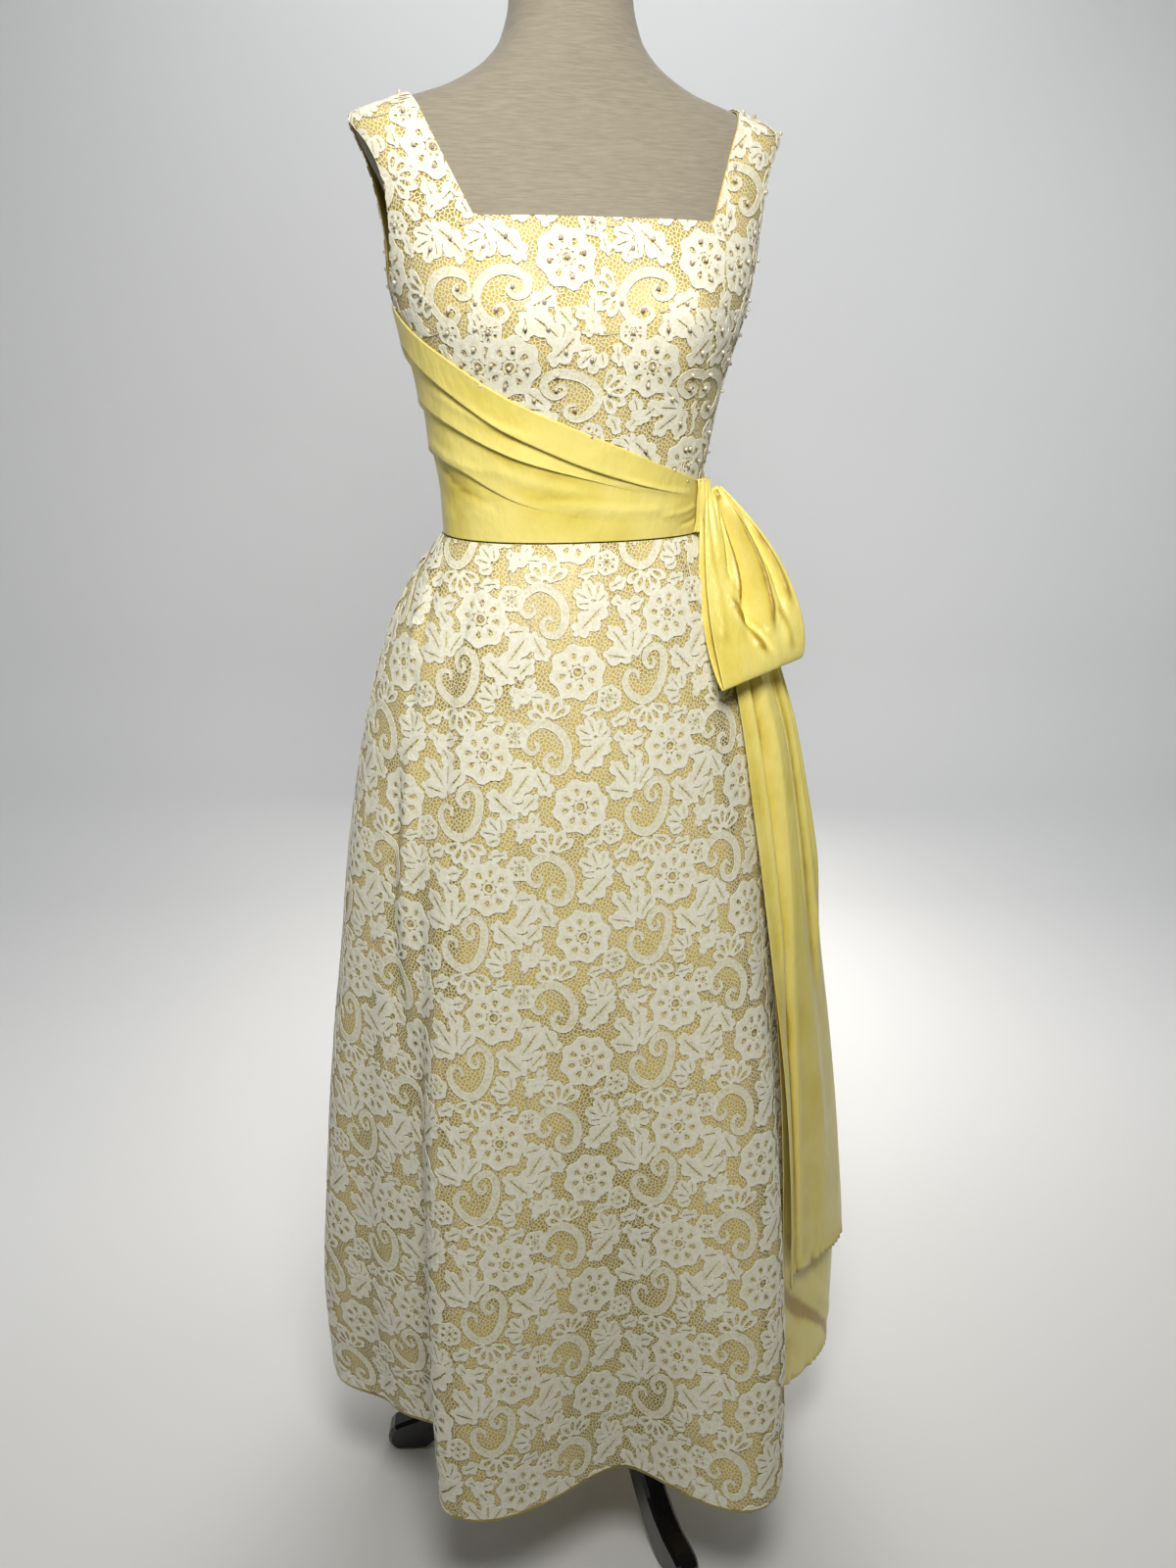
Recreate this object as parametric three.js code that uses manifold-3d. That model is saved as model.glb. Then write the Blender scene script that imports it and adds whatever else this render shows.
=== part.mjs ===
// Lace evening gown on a limbless dress form with a tripod stand.
// Millimetres, +Z up. The wearer's front faces -Y and the wearer's left is +X.
// Angles are in degrees from the front centre, growing towards the wearer's left.

import * as THREE from 'three';
import { mergeVertices } from 'three/addons/utils/BufferGeometryUtils.js';
import Module from 'manifold-3d';

const wasm = await Module();
wasm.setup();

// ---- Driving dimensions, heights above the floor ----

const WAIST = 1176;
const NECKLINE_FRONT = 1450;
const NECKLINE_BACK = 1468;
const NECKLINE_HALF = 106;
const STRAP_INNER = 150;
const STRAP_TOP = 1553;
const HEM = 210;
const LINING_HEM = 204;

const SEAM_GAP = 0.3;
const LINING_CLEAR = 0.7;
const LINING_WALL = 1.2;
const LACE_WALL = 1.0;
const SATIN_WALL = 1.2;
const LINING_OUT = LINING_CLEAR + LINING_WALL;
const LACE_IN = LINING_OUT + SEAM_GAP;
const LACE_OUT = LACE_IN + LACE_WALL;
// The sash also clears the bows of the lace's flat faces.
const SASH_CLEAR = 1.2;
const SASH_IN = LACE_OUT + SASH_CLEAR;
// Angle that leaves half a seam gap beside a seam on the body, at its mean radius.
const BODY_RADIUS = 110;
const SEAM_ANGLE = THREE.MathUtils.radToDeg(SEAM_GAP / 2 / BODY_RADIUS);

// Princess seams lie at this angle each side of the front, side seams at a right angle.
const PRINCESS = 40;
const SIDE = 90;
const ANGLE_STEP = 10;

// Body of the form: superellipse sections, half width and depth to the front and back.
const BODY_POWER = 2.3;
const BODY = [
  { z: 930, half: 176, front: 118, back: 134 },
  { z: 1000, half: 179, front: 116, back: 136 },
  { z: 1060, half: 166, front: 106, back: 122 },
  { z: 1120, half: 143, front: 95, back: 103 },
  { z: WAIST, half: 124, front: 88, back: 90 },
  { z: 1215, half: 125, front: 89, back: 91 },
  { z: 1260, half: 132, front: 96, back: 95 },
  { z: 1310, half: 141, front: 107, back: 100 },
  { z: 1345, half: 151, front: 115, back: 105 },
  { z: 1372, half: 160, front: 118, back: 109 },
  { z: 1405, half: 169, front: 114, back: 113 },
  { z: 1450, half: 177, front: 99, back: 114 },
  { z: 1490, half: 187, front: 80, back: 102 },
  { z: 1515, half: 194, front: 67, back: 89 },
  { z: 1530, half: 197, front: 60, back: 78 },
  { z: 1545, half: 164, front: 56, back: 70 },
  { z: 1562, half: 112, front: 53, back: 62 },
  { z: 1583, half: 77, front: 51, back: 56 },
  { z: 1602, half: 62, front: 49, back: 52 },
  { z: 1633, half: 54, front: 48, back: 50 },
  { z: 1668, half: 55, front: 50, back: 51 },
];
const BUST = { x: 80, z: 1370, wide: 46, tall: 52, rise: 15 };
// The form's shoulders end inside the armholes, clear of the straps.
const SHOULDER = { from: 125, to: 180, z: 1462, tall: 52, inset: 15 };

// Heights of the rings of points: the bodice shares those of the form above the waist.
const RINGS_BELOW = [930, 965, 1010, 1060, 1110, 1145];
const RINGS_BODICE = [WAIST, 1220, 1262, 1305, 1342, 1370, 1400, 1450, 1490, 1515, 1532, 1545, 1560];
const RINGS_NECK = [1572, 1585, 1602, 1633, 1668];
const ARMHOLE = { y: 6, z: 1465, halfDepth: 42, halfHeight: 68, segments: 14 };
// How far the cutters of the openings reach: to front and back, above the straps, and across.
const CUTTER = { depth: 260, above: 150, inner: 110, outer: 250 };

// Skirt sections: half width and depth to the front and back, before the folds.
const SKIRT_POWER_TOP = 2.3;
const SKIRT_POWER_HIP = 2.05;
const SKIRT = [
  { z: WAIST, half: 127, front: 91, back: 93 },
  { z: 1140, half: 153, front: 109, back: 122 },
  { z: 1100, half: 176, front: 123, back: 150 },
  { z: 1060, half: 193, front: 134, back: 170 },
  { z: 1010, half: 209, front: 146, back: 188 },
  { z: 970, half: 219, front: 155, back: 200 },
  { z: 910, half: 231, front: 167, back: 214 },
  { z: 845, half: 243, front: 180, back: 226 },
  { z: 726, half: 259, front: 204, back: 246 },
  { z: 600, half: 277, front: 228, back: 266 },
  { z: 460, half: 293, front: 252, back: 286 },
  { z: 315, half: 304, front: 274, back: 304 },
  { z: HEM, half: 301, front: 288, back: 312 },
];
// Folds: angle at the hem and at the hip, how far the fold stands out at the hem
// (less than nothing for a groove), and the height where it starts.
const HIP = 1035;
const FOLD_GROWTH = 1.25;
const FOLDS = [
  { name: 'back_groove_right', hem: -172, hip: -170, reach: -18, start: 1100 },
  { name: 'back_fold_right', hem: -152, hip: -150, reach: 24, start: 1120 },
  { name: 'back_groove_outer_right', hem: -131, hip: -132, reach: -16, start: 1100 },
  { name: 'side_fold_right', hem: -106, hip: -108, reach: 5, start: 1100 },
  { name: 'side_seam_right', hem: -93, hip: -93, reach: -6, start: 1050 },
  { name: 'front_side_fold_right', hem: -81, hip: -82, reach: 8, start: 1100 },
  { name: 'front_side_groove_right', hem: -66, hip: -72, reach: -30, start: 1000 },
  { name: 'deep_groove_right', hem: -51, hip: -62, reach: -48, start: 960 },
  { name: 'front_ridge_right', hem: -37, hip: -52, reach: 40, start: 990 },
  { name: 'front_hollow', hem: -4, hip: -4, reach: -32, start: 800 },
  { name: 'front_ridge_left', hem: 19, hip: 46, reach: 70, start: 920 },
  { name: 'deep_groove_left', hem: 43, hip: 60, reach: -42, start: 960 },
  { name: 'front_side_fold_left', hem: 68, hip: 74, reach: 4, start: 1000 },
  { name: 'side_seam_left', hem: 92, hip: 93, reach: -12, start: 1050 },
  { name: 'side_fold_left', hem: 112, hip: 110, reach: 18, start: 1100 },
  { name: 'back_groove_left', hem: 134, hip: 132, reach: -16, start: 1100 },
  { name: 'back_fold_left', hem: 156, hip: 152, reach: 24, start: 1120 },
  { name: 'centre_back', hem: 180, hip: 180, reach: 6, start: 1050 },
];
const COLUMNS_PER_FOLD = 3;
// Share of a column's width that is left free beside a seam of the skirt.
const SKIRT_SEAM = 0.0105;
const SKIRT_HEIGHTS = [1140, 1095, 1035, 940, 820, 680, 520, 360];

// Sash: heights of its edges round the waist, from the wearer's right side (-90)
// over the front to the knot, and from the knot round the back.
const KNOT_ANGLE = 58;
const SASH_FRONT = [
  { angle: -90, bottom: 1177, top: 1386 },
  { angle: -60, bottom: 1177, top: 1346 },
  { angle: -30, bottom: 1177, top: 1302 },
  { angle: 0, bottom: 1177, top: 1271 },
  { angle: 30, bottom: 1177, top: 1244 },
  { angle: KNOT_ANGLE, bottom: 1177, top: 1224 },
];
const SASH_BACK = [
  { angle: KNOT_ANGLE, bottom: 1177, top: 1224 },
  { angle: 100, bottom: 1177, top: 1240 },
  { angle: 150, bottom: 1177, top: 1272 },
  { angle: 200, bottom: 1177, top: 1312 },
  { angle: 240, bottom: 1177, top: 1354 },
  { angle: 270, bottom: 1177, top: 1386 },
];
const SASH_PLEATS = 4;
const PLEAT_RISE = 2.2;
// A pleat's last share of its width falls steeply to the next one; half way up it still
// has this share of its rise.
const PLEAT_COVER = 0.96;
const PLEAT_MIDDLE = 0.6;

// Knot: a pillow of cloth; its sides drop and its ends are gathered by these shares.
const KNOT = { halfAngle: 7, bottom: 1178, top: 1230, rise: 14, sideDrop: 0.5, gather: 0.25, steps: 6 };
const KNOT_IN = SASH_IN + SATIN_WALL + PLEAT_RISE + SEAM_GAP;

// Bow loop: a fan of cloth from the side of the knot out and down to its fold and back.
const LOOP = {
  rootLow: [134.6, -49.5, 1181], rootHigh: [134.2, -46.5, 1228],
  foldLow: [108, -155, 1030], foldHigh: [209, -116, 1058],
  bulgeLow: [82, -155, 1095], bulgeHigh: [196, -88, 1176],
  outward: [0.36, -0.93, 0],
  rootGap: 2.6, foldGapLow: 9, foldGapHigh: 19, gathers: 3, gatherRise: 3,
  rounding: 0.8, acrossSteps: 10, turnSteps: 14,
};

// Tails: they hang from under the knot and lie on the skirt's left side.
const TAIL_GAP = 1.6;
const TAIL_TOP = KNOT.bottom - TAIL_GAP;
const TAIL_STEPS = { across: 9, down: 11, crowding: 1.7 };
const TAIL_EDGES = [
  { z: 1178, near: 63, far: 74 },
  { z: 1150, near: 59, far: 75 },
  { z: 1110, near: 54, far: 76 },
  { z: 1030, near: 49, far: 75 },
  { z: 900, near: 46, far: 74 },
  { z: 700, near: 44, far: 74 },
  { z: 320, near: 46, far: 75 },
  { z: 168, near: 48, far: 75 },
];
const TAIL_FRONT = { inset: 0, hemNear: 322, hemFar: 312, clearTop: 7.7, clearHem: 24, wave: 4.5, waves: 2.5 };
const TAIL_BACK = { inset: 5, hemNear: 158, hemFar: 178, clearTop: 4.6, clearHem: 11, wave: 1.5, waves: 2 };
// The tails sink into the skirt's folds by this share of the folds' own depth.
const TAIL_FOLLOW = 0.75;

// Stand: pole, hub and three curved legs.
const STAND = { x: -4, y: -30, poleRadius: 14, hubRadius: 27, hubBottom: 176, hubTop: 262 };
const LEG_ANGLES = [16.5, -102, 135];
const LEG_WIDTH = 28;
const LEG_BEVEL = 4;
// Side outline of a leg, as distance from the pole and height: where it starts on the hub,
// then curves over the top to the toe, and from the flat foot back below to the hub.
const LEG_START = 250;
const LEG_TOP = [
  [70, 252, 112, 210, 140, 150],
  [164, 96, 190, 52, 232, 42],
  [252, 36, 254, 6, 240, 0],
];
const LEG_HEEL = 200;
const LEG_UNDERSIDE = [
  [170, 22, 140, 66, 116, 122],
  [92, 172, 66, 196, STAND.hubRadius + SEAM_GAP, 198],
];

// Small steps over which a surface's normal is measured.
const BODY_NORMAL_STEP = { angle: 0.5, height: 1 };
const SKIRT_NORMAL_STEP = { position: 0.05, height: 2 };
const SHEET_NORMAL_STEP = { across: 0.02, along: 0.01 };

// ---- Colours ----

const material = (color, roughness, metalness = 0) =>
  new THREE.MeshStandardMaterial({ color, roughness, metalness, side: THREE.DoubleSide });
const LACE = material(0xefe8cb, 0.85);
const SATIN = material(0xe9d878, 0.42);
const LINEN = material(0xa9a393, 0.9);
const BLACK = material(0x0b0b0c, 0.22);

// ---- Small helpers ----

const radians = THREE.MathUtils.degToRad;
const lerp = THREE.MathUtils.lerp;
const vector = (list) => new THREE.Vector3(...list);

function clampedFraction(value, from, to) {
  return THREE.MathUtils.clamp((value - from) / (to - from), 0, 1);
}

// Smooth curve through a table's column that never overshoots its rows.
function column(table, key, name, at) {
  const rows = [...table].sort((a, b) => a[key] - b[key]);
  const last = rows.length - 1;
  if (at <= rows[0][key]) return rows[0][name];
  if (at >= rows[last][key]) return rows[last][name];
  const i = rows.findIndex((row) => row[key] > at) - 1;
  const slope = (k) => (rows[k + 1][name] - rows[k][name]) / (rows[k + 1][key] - rows[k][key]);
  const tangent = (k) => {
    if (k === 0) return slope(0);
    if (k === last) return slope(last - 1);
    const before = slope(k - 1);
    const after = slope(k);
    return before * after > 0 ? (2 * before * after) / (before + after) : 0;
  };
  const width = rows[i + 1][key] - rows[i][key];
  const t = (at - rows[i][key]) / width;
  const t2 = t * t;
  const t3 = t2 * t;
  return (2 * t3 - 3 * t2 + 1) * rows[i][name] + (t3 - 2 * t2 + t) * width * tangent(i)
    + (3 * t2 - 2 * t3) * rows[i + 1][name] + (t3 - t2) * width * tangent(i + 1);
}

// ---- Surfaces ----

// Point of the form's surface; the angle is that of a stretched circle.
function bodyPoint(angle, z) {
  const s = Math.sin(radians(angle));
  const c = Math.cos(radians(angle));
  const scale = (Math.abs(s) ** BODY_POWER + Math.abs(c) ** BODY_POWER) ** (-1 / BODY_POWER);
  const x = column(BODY, 'z', 'half', z) * s * scale;
  const depth = column(BODY, 'z', c > 0 ? 'front' : 'back', z);
  const cup = Math.exp(-(((Math.abs(x) - BUST.x) / BUST.wide) ** 2) - ((z - BUST.z) / BUST.tall) ** 2);
  const bust = c > 0 ? BUST.rise * cup * Math.min(1, c * 2) : 0;
  return new THREE.Vector3(x, -depth * c * scale - bust, z);
}

function formPoint(angle, z) {
  const point = bodyPoint(angle, z);
  const outer = clampedFraction(Math.abs(point.x), SHOULDER.from, SHOULDER.to);
  const inset = SHOULDER.inset * outer * Math.exp(-(((z - SHOULDER.z) / SHOULDER.tall) ** 2));
  point.x -= Math.sign(point.x) * inset;
  return point;
}

// Outward normal of a surface given by a function of two values.
function normalOf(surface, u, v, stepU, stepV) {
  const alongU = surface(u + stepU, v).sub(surface(u - stepU, v));
  const alongV = surface(u, v + stepV).sub(surface(u, v - stepV));
  return alongU.cross(alongV).normalize();
}

function bodyOut(angle, z, distance) {
  const normal = normalOf(bodyPoint, angle, z, BODY_NORMAL_STEP.angle, BODY_NORMAL_STEP.height);
  return bodyPoint(angle, z).addScaledVector(normal, distance);
}

function skirtBase(angle, z) {
  const s = Math.abs(Math.sin(radians(angle)));
  const c = Math.cos(radians(angle));
  const depth = column(SKIRT, 'z', c > 0 ? 'front' : 'back', z);
  const half = column(SKIRT, 'z', 'half', z);
  const power = lerp(SKIRT_POWER_TOP, SKIRT_POWER_HIP, clampedFraction(z, WAIST, HIP));
  return ((s / half) ** power + (Math.abs(c) / depth) ** power) ** (-1 / power);
}

function foldAngle(fold, z) {
  return lerp(fold.hip, fold.hem, clampedFraction(z, HIP, HEM));
}

function foldReach(fold, z) {
  return fold.reach * clampedFraction(z, fold.start, HEM) ** FOLD_GROWTH;
}

// How far the folds stand out at share t of the way from one fold to the next.
function foldBetween(from, to, t, z) {
  const ease = 0.5 - 0.5 * Math.cos(Math.PI * t);
  return lerp(foldReach(from, z), foldReach(to, z), ease);
}

function foldAt(angle, z) {
  const i = FOLDS.findIndex((fold, k) => k + 1 < FOLDS.length && foldAngle(FOLDS[k + 1], z) > angle);
  const [from, to] = [FOLDS[i], FOLDS[i + 1]];
  return foldBetween(from, to, clampedFraction(angle, foldAngle(from, z), foldAngle(to, z)), z);
}

// Skirt surface; position runs through the folds table, whole numbers on a fold's line.
function skirtPoint(position, z) {
  const count = FOLDS.length;
  const turns = Math.floor(position / count);
  const place = position - turns * count;
  const i = Math.floor(place);
  const t = place - i;
  const from = FOLDS[i];
  const to = FOLDS[(i + 1) % count];
  const wrap = i + 1 === count ? 360 : 0;
  const angle = lerp(foldAngle(from, z), foldAngle(to, z) + wrap, t);
  const radius = skirtBase(angle, z) + foldBetween(from, to, t, z);
  return new THREE.Vector3(radius * Math.sin(radians(angle)), -radius * Math.cos(radians(angle)), z);
}

// The wall keeps its real thickness while each point stays at its own height.
function skirtOut(position, z, distance) {
  const normal = normalOf(skirtPoint, position, z, SKIRT_NORMAL_STEP.position, SKIRT_NORMAL_STEP.height);
  const level = new THREE.Vector3(normal.x, normal.y, 0);
  return skirtPoint(position, z).addScaledVector(level, distance / level.lengthSq());
}

// ---- Walls ----

// Closed wall between an outer and an inner grid of points, rows of equal length.
function wall(outer, inner) {
  const rows = outer.length;
  const columns = outer[0].length;
  const points = [...outer.flat(), ...inner.flat()];
  const half = rows * columns;
  const at = (side, row, col) => side * half + row * columns + col;
  const faces = [];
  const quad = (a, b, c, d) => faces.push(a, b, c, a, c, d);
  for (let r = 0; r + 1 < rows; r += 1) {
    for (let c = 0; c + 1 < columns; c += 1) {
      quad(at(0, r, c), at(0, r, c + 1), at(0, r + 1, c + 1), at(0, r + 1, c));
      quad(at(1, r, c), at(1, r + 1, c), at(1, r + 1, c + 1), at(1, r, c + 1));
    }
    quad(at(0, r, 0), at(0, r + 1, 0), at(1, r + 1, 0), at(1, r, 0));
    quad(at(0, r + 1, columns - 1), at(0, r, columns - 1), at(1, r, columns - 1), at(1, r + 1, columns - 1));
  }
  for (let c = 0; c + 1 < columns; c += 1) {
    quad(at(0, 0, c + 1), at(0, 0, c), at(1, 0, c), at(1, 0, c + 1));
    quad(at(0, rows - 1, c), at(0, rows - 1, c + 1), at(1, rows - 1, c + 1), at(1, rows - 1, c));
  }
  const geometry = new THREE.BufferGeometry();
  geometry.setAttribute('position', new THREE.Float32BufferAttribute(points.flatMap((p) => p.toArray()), 3));
  geometry.setIndex(faces);
  return geometry;
}

// Wall over a surface: one call gives the outer points and one the inner points.
function wallOver(us, vs, outerPoint, innerPoint) {
  const grid = (point) => vs.map((v) => us.map((u) => point(u, v)));
  return wall(grid(outerPoint), grid(innerPoint));
}

const steps = (from, to, count) => Array.from({ length: count + 1 }, (_, i) => lerp(from, to, i / count));

// Angles of a piece of the bodice or sash: the shared steps, and half a seam gap off each end.
function gridAngles(from, to) {
  const inside = steps(-SIDE, 360 - SIDE, 360 / ANGLE_STEP).filter((a) => a > from + 1 && a < to - 1);
  return [from + SEAM_ANGLE, ...inside, to - SEAM_ANGLE];
}

// ---- Cutting ----

function toManifold(geometry) {
  const bare = geometry.clone();
  bare.deleteAttribute('normal');
  bare.deleteAttribute('uv');
  const merged = mergeVertices(bare, 1e-4);
  return new wasm.Manifold(new wasm.Mesh({
    numProp: 3,
    vertProperties: new Float32Array(merged.attributes.position.array),
    triVerts: new Uint32Array(merged.index.array),
  }));
}

function fromManifold(solid) {
  const mesh = solid.getMesh();
  const geometry = new THREE.BufferGeometry();
  geometry.setAttribute('position', new THREE.BufferAttribute(mesh.vertProperties, 3));
  geometry.setIndex(new THREE.BufferAttribute(mesh.triVerts, 1));
  return geometry;
}

// Prism of an outline in X and Z that reaches from one Y to another.
function prismAlongY(outline, fromY, toY) {
  const shape = new THREE.Shape(outline.map(([x, z]) => new THREE.Vector2(x, z)));
  const prism = new THREE.ExtrudeGeometry(shape, { depth: toY - fromY, bevelEnabled: false });
  prism.rotateX(Math.PI / 2);
  prism.translate(0, toY, 0);
  return toManifold(prism);
}

function necklineCutter(height, fromY, toY) {
  const top = STRAP_TOP + CUTTER.above;
  const right = [[NECKLINE_HALF, height], [STRAP_INNER, STRAP_TOP], [STRAP_INNER, top]];
  const left = right.map(([x, z]) => [-x, z]).reverse();
  return prismAlongY([...right, ...left], fromY, toY);
}

function armholeCutter(side) {
  const shape = new THREE.Shape();
  shape.absellipse(0, 0, ARMHOLE.halfDepth, ARMHOLE.halfHeight, 0, 2 * Math.PI);
  const prism = new THREE.ExtrudeGeometry(shape, {
    depth: CUTTER.outer - CUTTER.inner,
    bevelEnabled: false,
    curveSegments: ARMHOLE.segments,
  });
  prism.rotateX(Math.PI / 2);
  prism.rotateZ(Math.PI / 2);
  prism.translate(side > 0 ? CUTTER.inner : -CUTTER.outer, ARMHOLE.y, ARMHOLE.z);
  return toManifold(prism);
}

const CUTTERS = [
  necklineCutter(NECKLINE_FRONT, -CUTTER.depth, 0),
  necklineCutter(NECKLINE_BACK, 0, CUTTER.depth),
  armholeCutter(1),
  armholeCutter(-1),
];

// ---- Pieces ----

const gown = new THREE.Group();

function addPiece(name, geometry, look) {
  const mesh = new THREE.Mesh(geometry, look);
  mesh.name = name;
  gown.add(mesh);
  return mesh;
}

function bodicePiece(name, from, to, inner, outer, look) {
  const heights = [WAIST + SEAM_GAP, ...RINGS_BODICE.slice(1)];
  const shell = wallOver(
    gridAngles(from, to),
    heights,
    (angle, z) => bodyOut(angle, z, outer),
    (angle, z) => bodyOut(angle, z, inner),
  );
  const cut = CUTTERS.reduce((solid, cutter) => solid.subtract(cutter), toManifold(shell));
  addPiece(name, fromManifold(cut), look);
}

function addBodice() {
  bodicePiece('bodice_lining_front', -SIDE, SIDE, LINING_CLEAR, LINING_OUT, SATIN);
  bodicePiece('bodice_lining_back_left', SIDE, 180, LINING_CLEAR, LINING_OUT, SATIN);
  bodicePiece('bodice_lining_back_right', 180, 360 - SIDE, LINING_CLEAR, LINING_OUT, SATIN);
  bodicePiece('bodice_lace_front', -PRINCESS, PRINCESS, LACE_IN, LACE_OUT, LACE);
  bodicePiece('bodice_lace_side_left', PRINCESS, SIDE, LACE_IN, LACE_OUT, LACE);
  bodicePiece('bodice_lace_side_right', -SIDE, -PRINCESS, LACE_IN, LACE_OUT, LACE);
  bodicePiece('bodice_lace_back_left', SIDE, 180, LACE_IN, LACE_OUT, LACE);
  bodicePiece('bodice_lace_back_right', 180, 360 - SIDE, LACE_IN, LACE_OUT, LACE);
}

// Rows of a pleated band: each pleat stands proud at its lower fold and dies away upwards.
function pleatRows() {
  const rows = [];
  for (let pleat = 0; pleat < SASH_PLEATS; pleat += 1) {
    const bottom = pleat / SASH_PLEATS;
    const top = (pleat + PLEAT_COVER) / SASH_PLEATS;
    rows.push({ part: bottom, rise: PLEAT_RISE });
    rows.push({ part: (bottom + top) / 2, rise: PLEAT_RISE * PLEAT_MIDDLE });
    rows.push({ part: top, rise: 0 });
  }
  rows.push({ part: 1, rise: 0 });
  return rows;
}

function addSash(name, table, from, to) {
  const height = (angle, row) =>
    lerp(column(table, 'angle', 'bottom', angle), column(table, 'angle', 'top', angle), row.part);
  addPiece(name, wallOver(
    gridAngles(from, to),
    pleatRows(),
    (angle, row) => bodyOut(angle, height(angle, row), SASH_IN + SATIN_WALL + row.rise),
    (angle, row) => bodyOut(angle, height(angle, row), SASH_IN),
  ), SATIN);
}

function addKnot() {
  const angles = steps(KNOT_ANGLE - KNOT.halfAngle, KNOT_ANGLE + KNOT.halfAngle, KNOT.steps);
  const heights = steps(KNOT.bottom, KNOT.top, KNOT.steps);
  const swell = (angle, z) => {
    const across = (angle - KNOT_ANGLE) / KNOT.halfAngle;
    const along = (z - KNOT.bottom) / (KNOT.top - KNOT.bottom);
    const side = Math.sqrt(1 - KNOT.sideDrop * across * across);
    return KNOT.rise * side * (1 - KNOT.gather + KNOT.gather * Math.sin(Math.PI * along));
  };
  addPiece('bow_knot', wallOver(
    angles,
    heights,
    (angle, z) => bodyOut(angle, z, KNOT_IN + swell(angle, z)),
    (angle, z) => bodyOut(angle, z, KNOT_IN),
  ), SATIN);
}

// Loop surface: across runs from its lower to its upper edge, turn from 0 (front layer at
// the knot) through a half (the fold) to 1 (back layer at the knot).
function loopPoint(across, turn) {
  const phase = Math.PI * turn;
  const reach = Math.sin(phase) ** LOOP.rounding;
  const between = (low, high) => vector(LOOP[low]).lerp(vector(LOOP[high]), across);
  const root = between('rootLow', 'rootHigh');
  const bulge = between('bulgeLow', 'bulgeHigh');
  const fold = between('foldLow', 'foldHigh');
  const point = new THREE.QuadraticBezierCurve3(root, bulge, fold).getPoint(reach);
  const gap = lerp(LOOP.rootGap, lerp(LOOP.foldGapLow, LOOP.foldGapHigh, across), reach);
  const gather = LOOP.gatherRise * Math.sin(Math.PI * reach) * Math.sin(2 * Math.PI * LOOP.gathers * across);
  return point.addScaledVector(vector(LOOP.outward), gap * Math.cos(phase) + gather);
}

function addLoop() {
  const out = (across, turn, distance) => {
    const { across: stepAcross, along } = SHEET_NORMAL_STEP;
    const safeTurn = THREE.MathUtils.clamp(turn, 2 * along, 1 - 2 * along);
    const normal = normalOf(loopPoint, across, safeTurn, stepAcross, along);
    return loopPoint(across, turn).addScaledVector(normal, distance);
  };
  addPiece('bow_loop', wallOver(
    steps(0, 1, LOOP.acrossSteps),
    steps(0, 1, LOOP.turnSteps),
    (across, turn) => out(across, turn, SATIN_WALL / 2),
    (across, turn) => out(across, turn, -SATIN_WALL / 2),
  ), SATIN);
}

function tailPoint(tail, across, down) {
  const z = lerp(TAIL_TOP, lerp(tail.hemNear, tail.hemFar, across), down);
  const near = column(TAIL_EDGES, 'z', 'near', z) + tail.inset * Math.sin(Math.PI * down);
  const angle = lerp(near, column(TAIL_EDGES, 'z', 'far', z), across);
  const wave = tail.wave * Math.sin(Math.PI * down) * Math.sin(2 * Math.PI * tail.waves * across);
  const clear = lerp(tail.clearTop, tail.clearHem, down);
  const radius = skirtBase(angle, z) + TAIL_FOLLOW * foldAt(angle, z) + clear + wave;
  return new THREE.Vector3(radius * Math.sin(radians(angle)), -radius * Math.cos(radians(angle)), z);
}

function addTail(name, tail) {
  const surface = (across, down) => tailPoint(tail, across, down);
  const out = (across, down, distance) => {
    const { across: stepAcross, along } = SHEET_NORMAL_STEP;
    const safeDown = THREE.MathUtils.clamp(down, along, 1 - along);
    const normal = normalOf(surface, across, safeDown, stepAcross, along);
    return surface(across, down).addScaledVector(normal, -distance);
  };
  addPiece(name, wallOver(
    steps(0, 1, TAIL_STEPS.across),
    steps(1, 0, TAIL_STEPS.down).map((down) => down ** TAIL_STEPS.crowding),
    (across, down) => out(across, down, SATIN_WALL),
    (across, down) => out(across, down, 0),
  ), SATIN);
}

function foldIndex(name) {
  return FOLDS.findIndex((fold) => fold.name === name);
}

// Columns of a skirt piece; the first and last are drawn in towards their neighbours.
function skirtColumns(from, to) {
  const positions = steps(from, to, (to - from) * COLUMNS_PER_FOLD);
  const last = positions.length - 1;
  return positions.map((position, i) => {
    if (i === 0) return { position, towards: positions[1], share: SKIRT_SEAM };
    if (i === last) return { position, towards: positions[last - 1], share: SKIRT_SEAM };
    return { position, towards: position, share: 0 };
  });
}

function skirtPiece(name, fromFold, toFold, inner, outer, hem, look) {
  const from = foldIndex(fromFold);
  const to = foldIndex(toFold) <= from ? foldIndex(toFold) + FOLDS.length : foldIndex(toFold);
  const point = ({ position, towards, share }, z, distance) =>
    skirtOut(position, z, distance).lerp(skirtOut(towards, z, distance), share);
  const hemRows = hem < HEM ? [hem, HEM] : [HEM];
  const heights = [...hemRows, ...[...SKIRT_HEIGHTS].reverse(), WAIST - SEAM_GAP];
  addPiece(name, wallOver(
    skirtColumns(from, to),
    heights,
    (place, z) => point(place, z, outer),
    (place, z) => point(place, z, inner),
  ), look);
}

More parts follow.
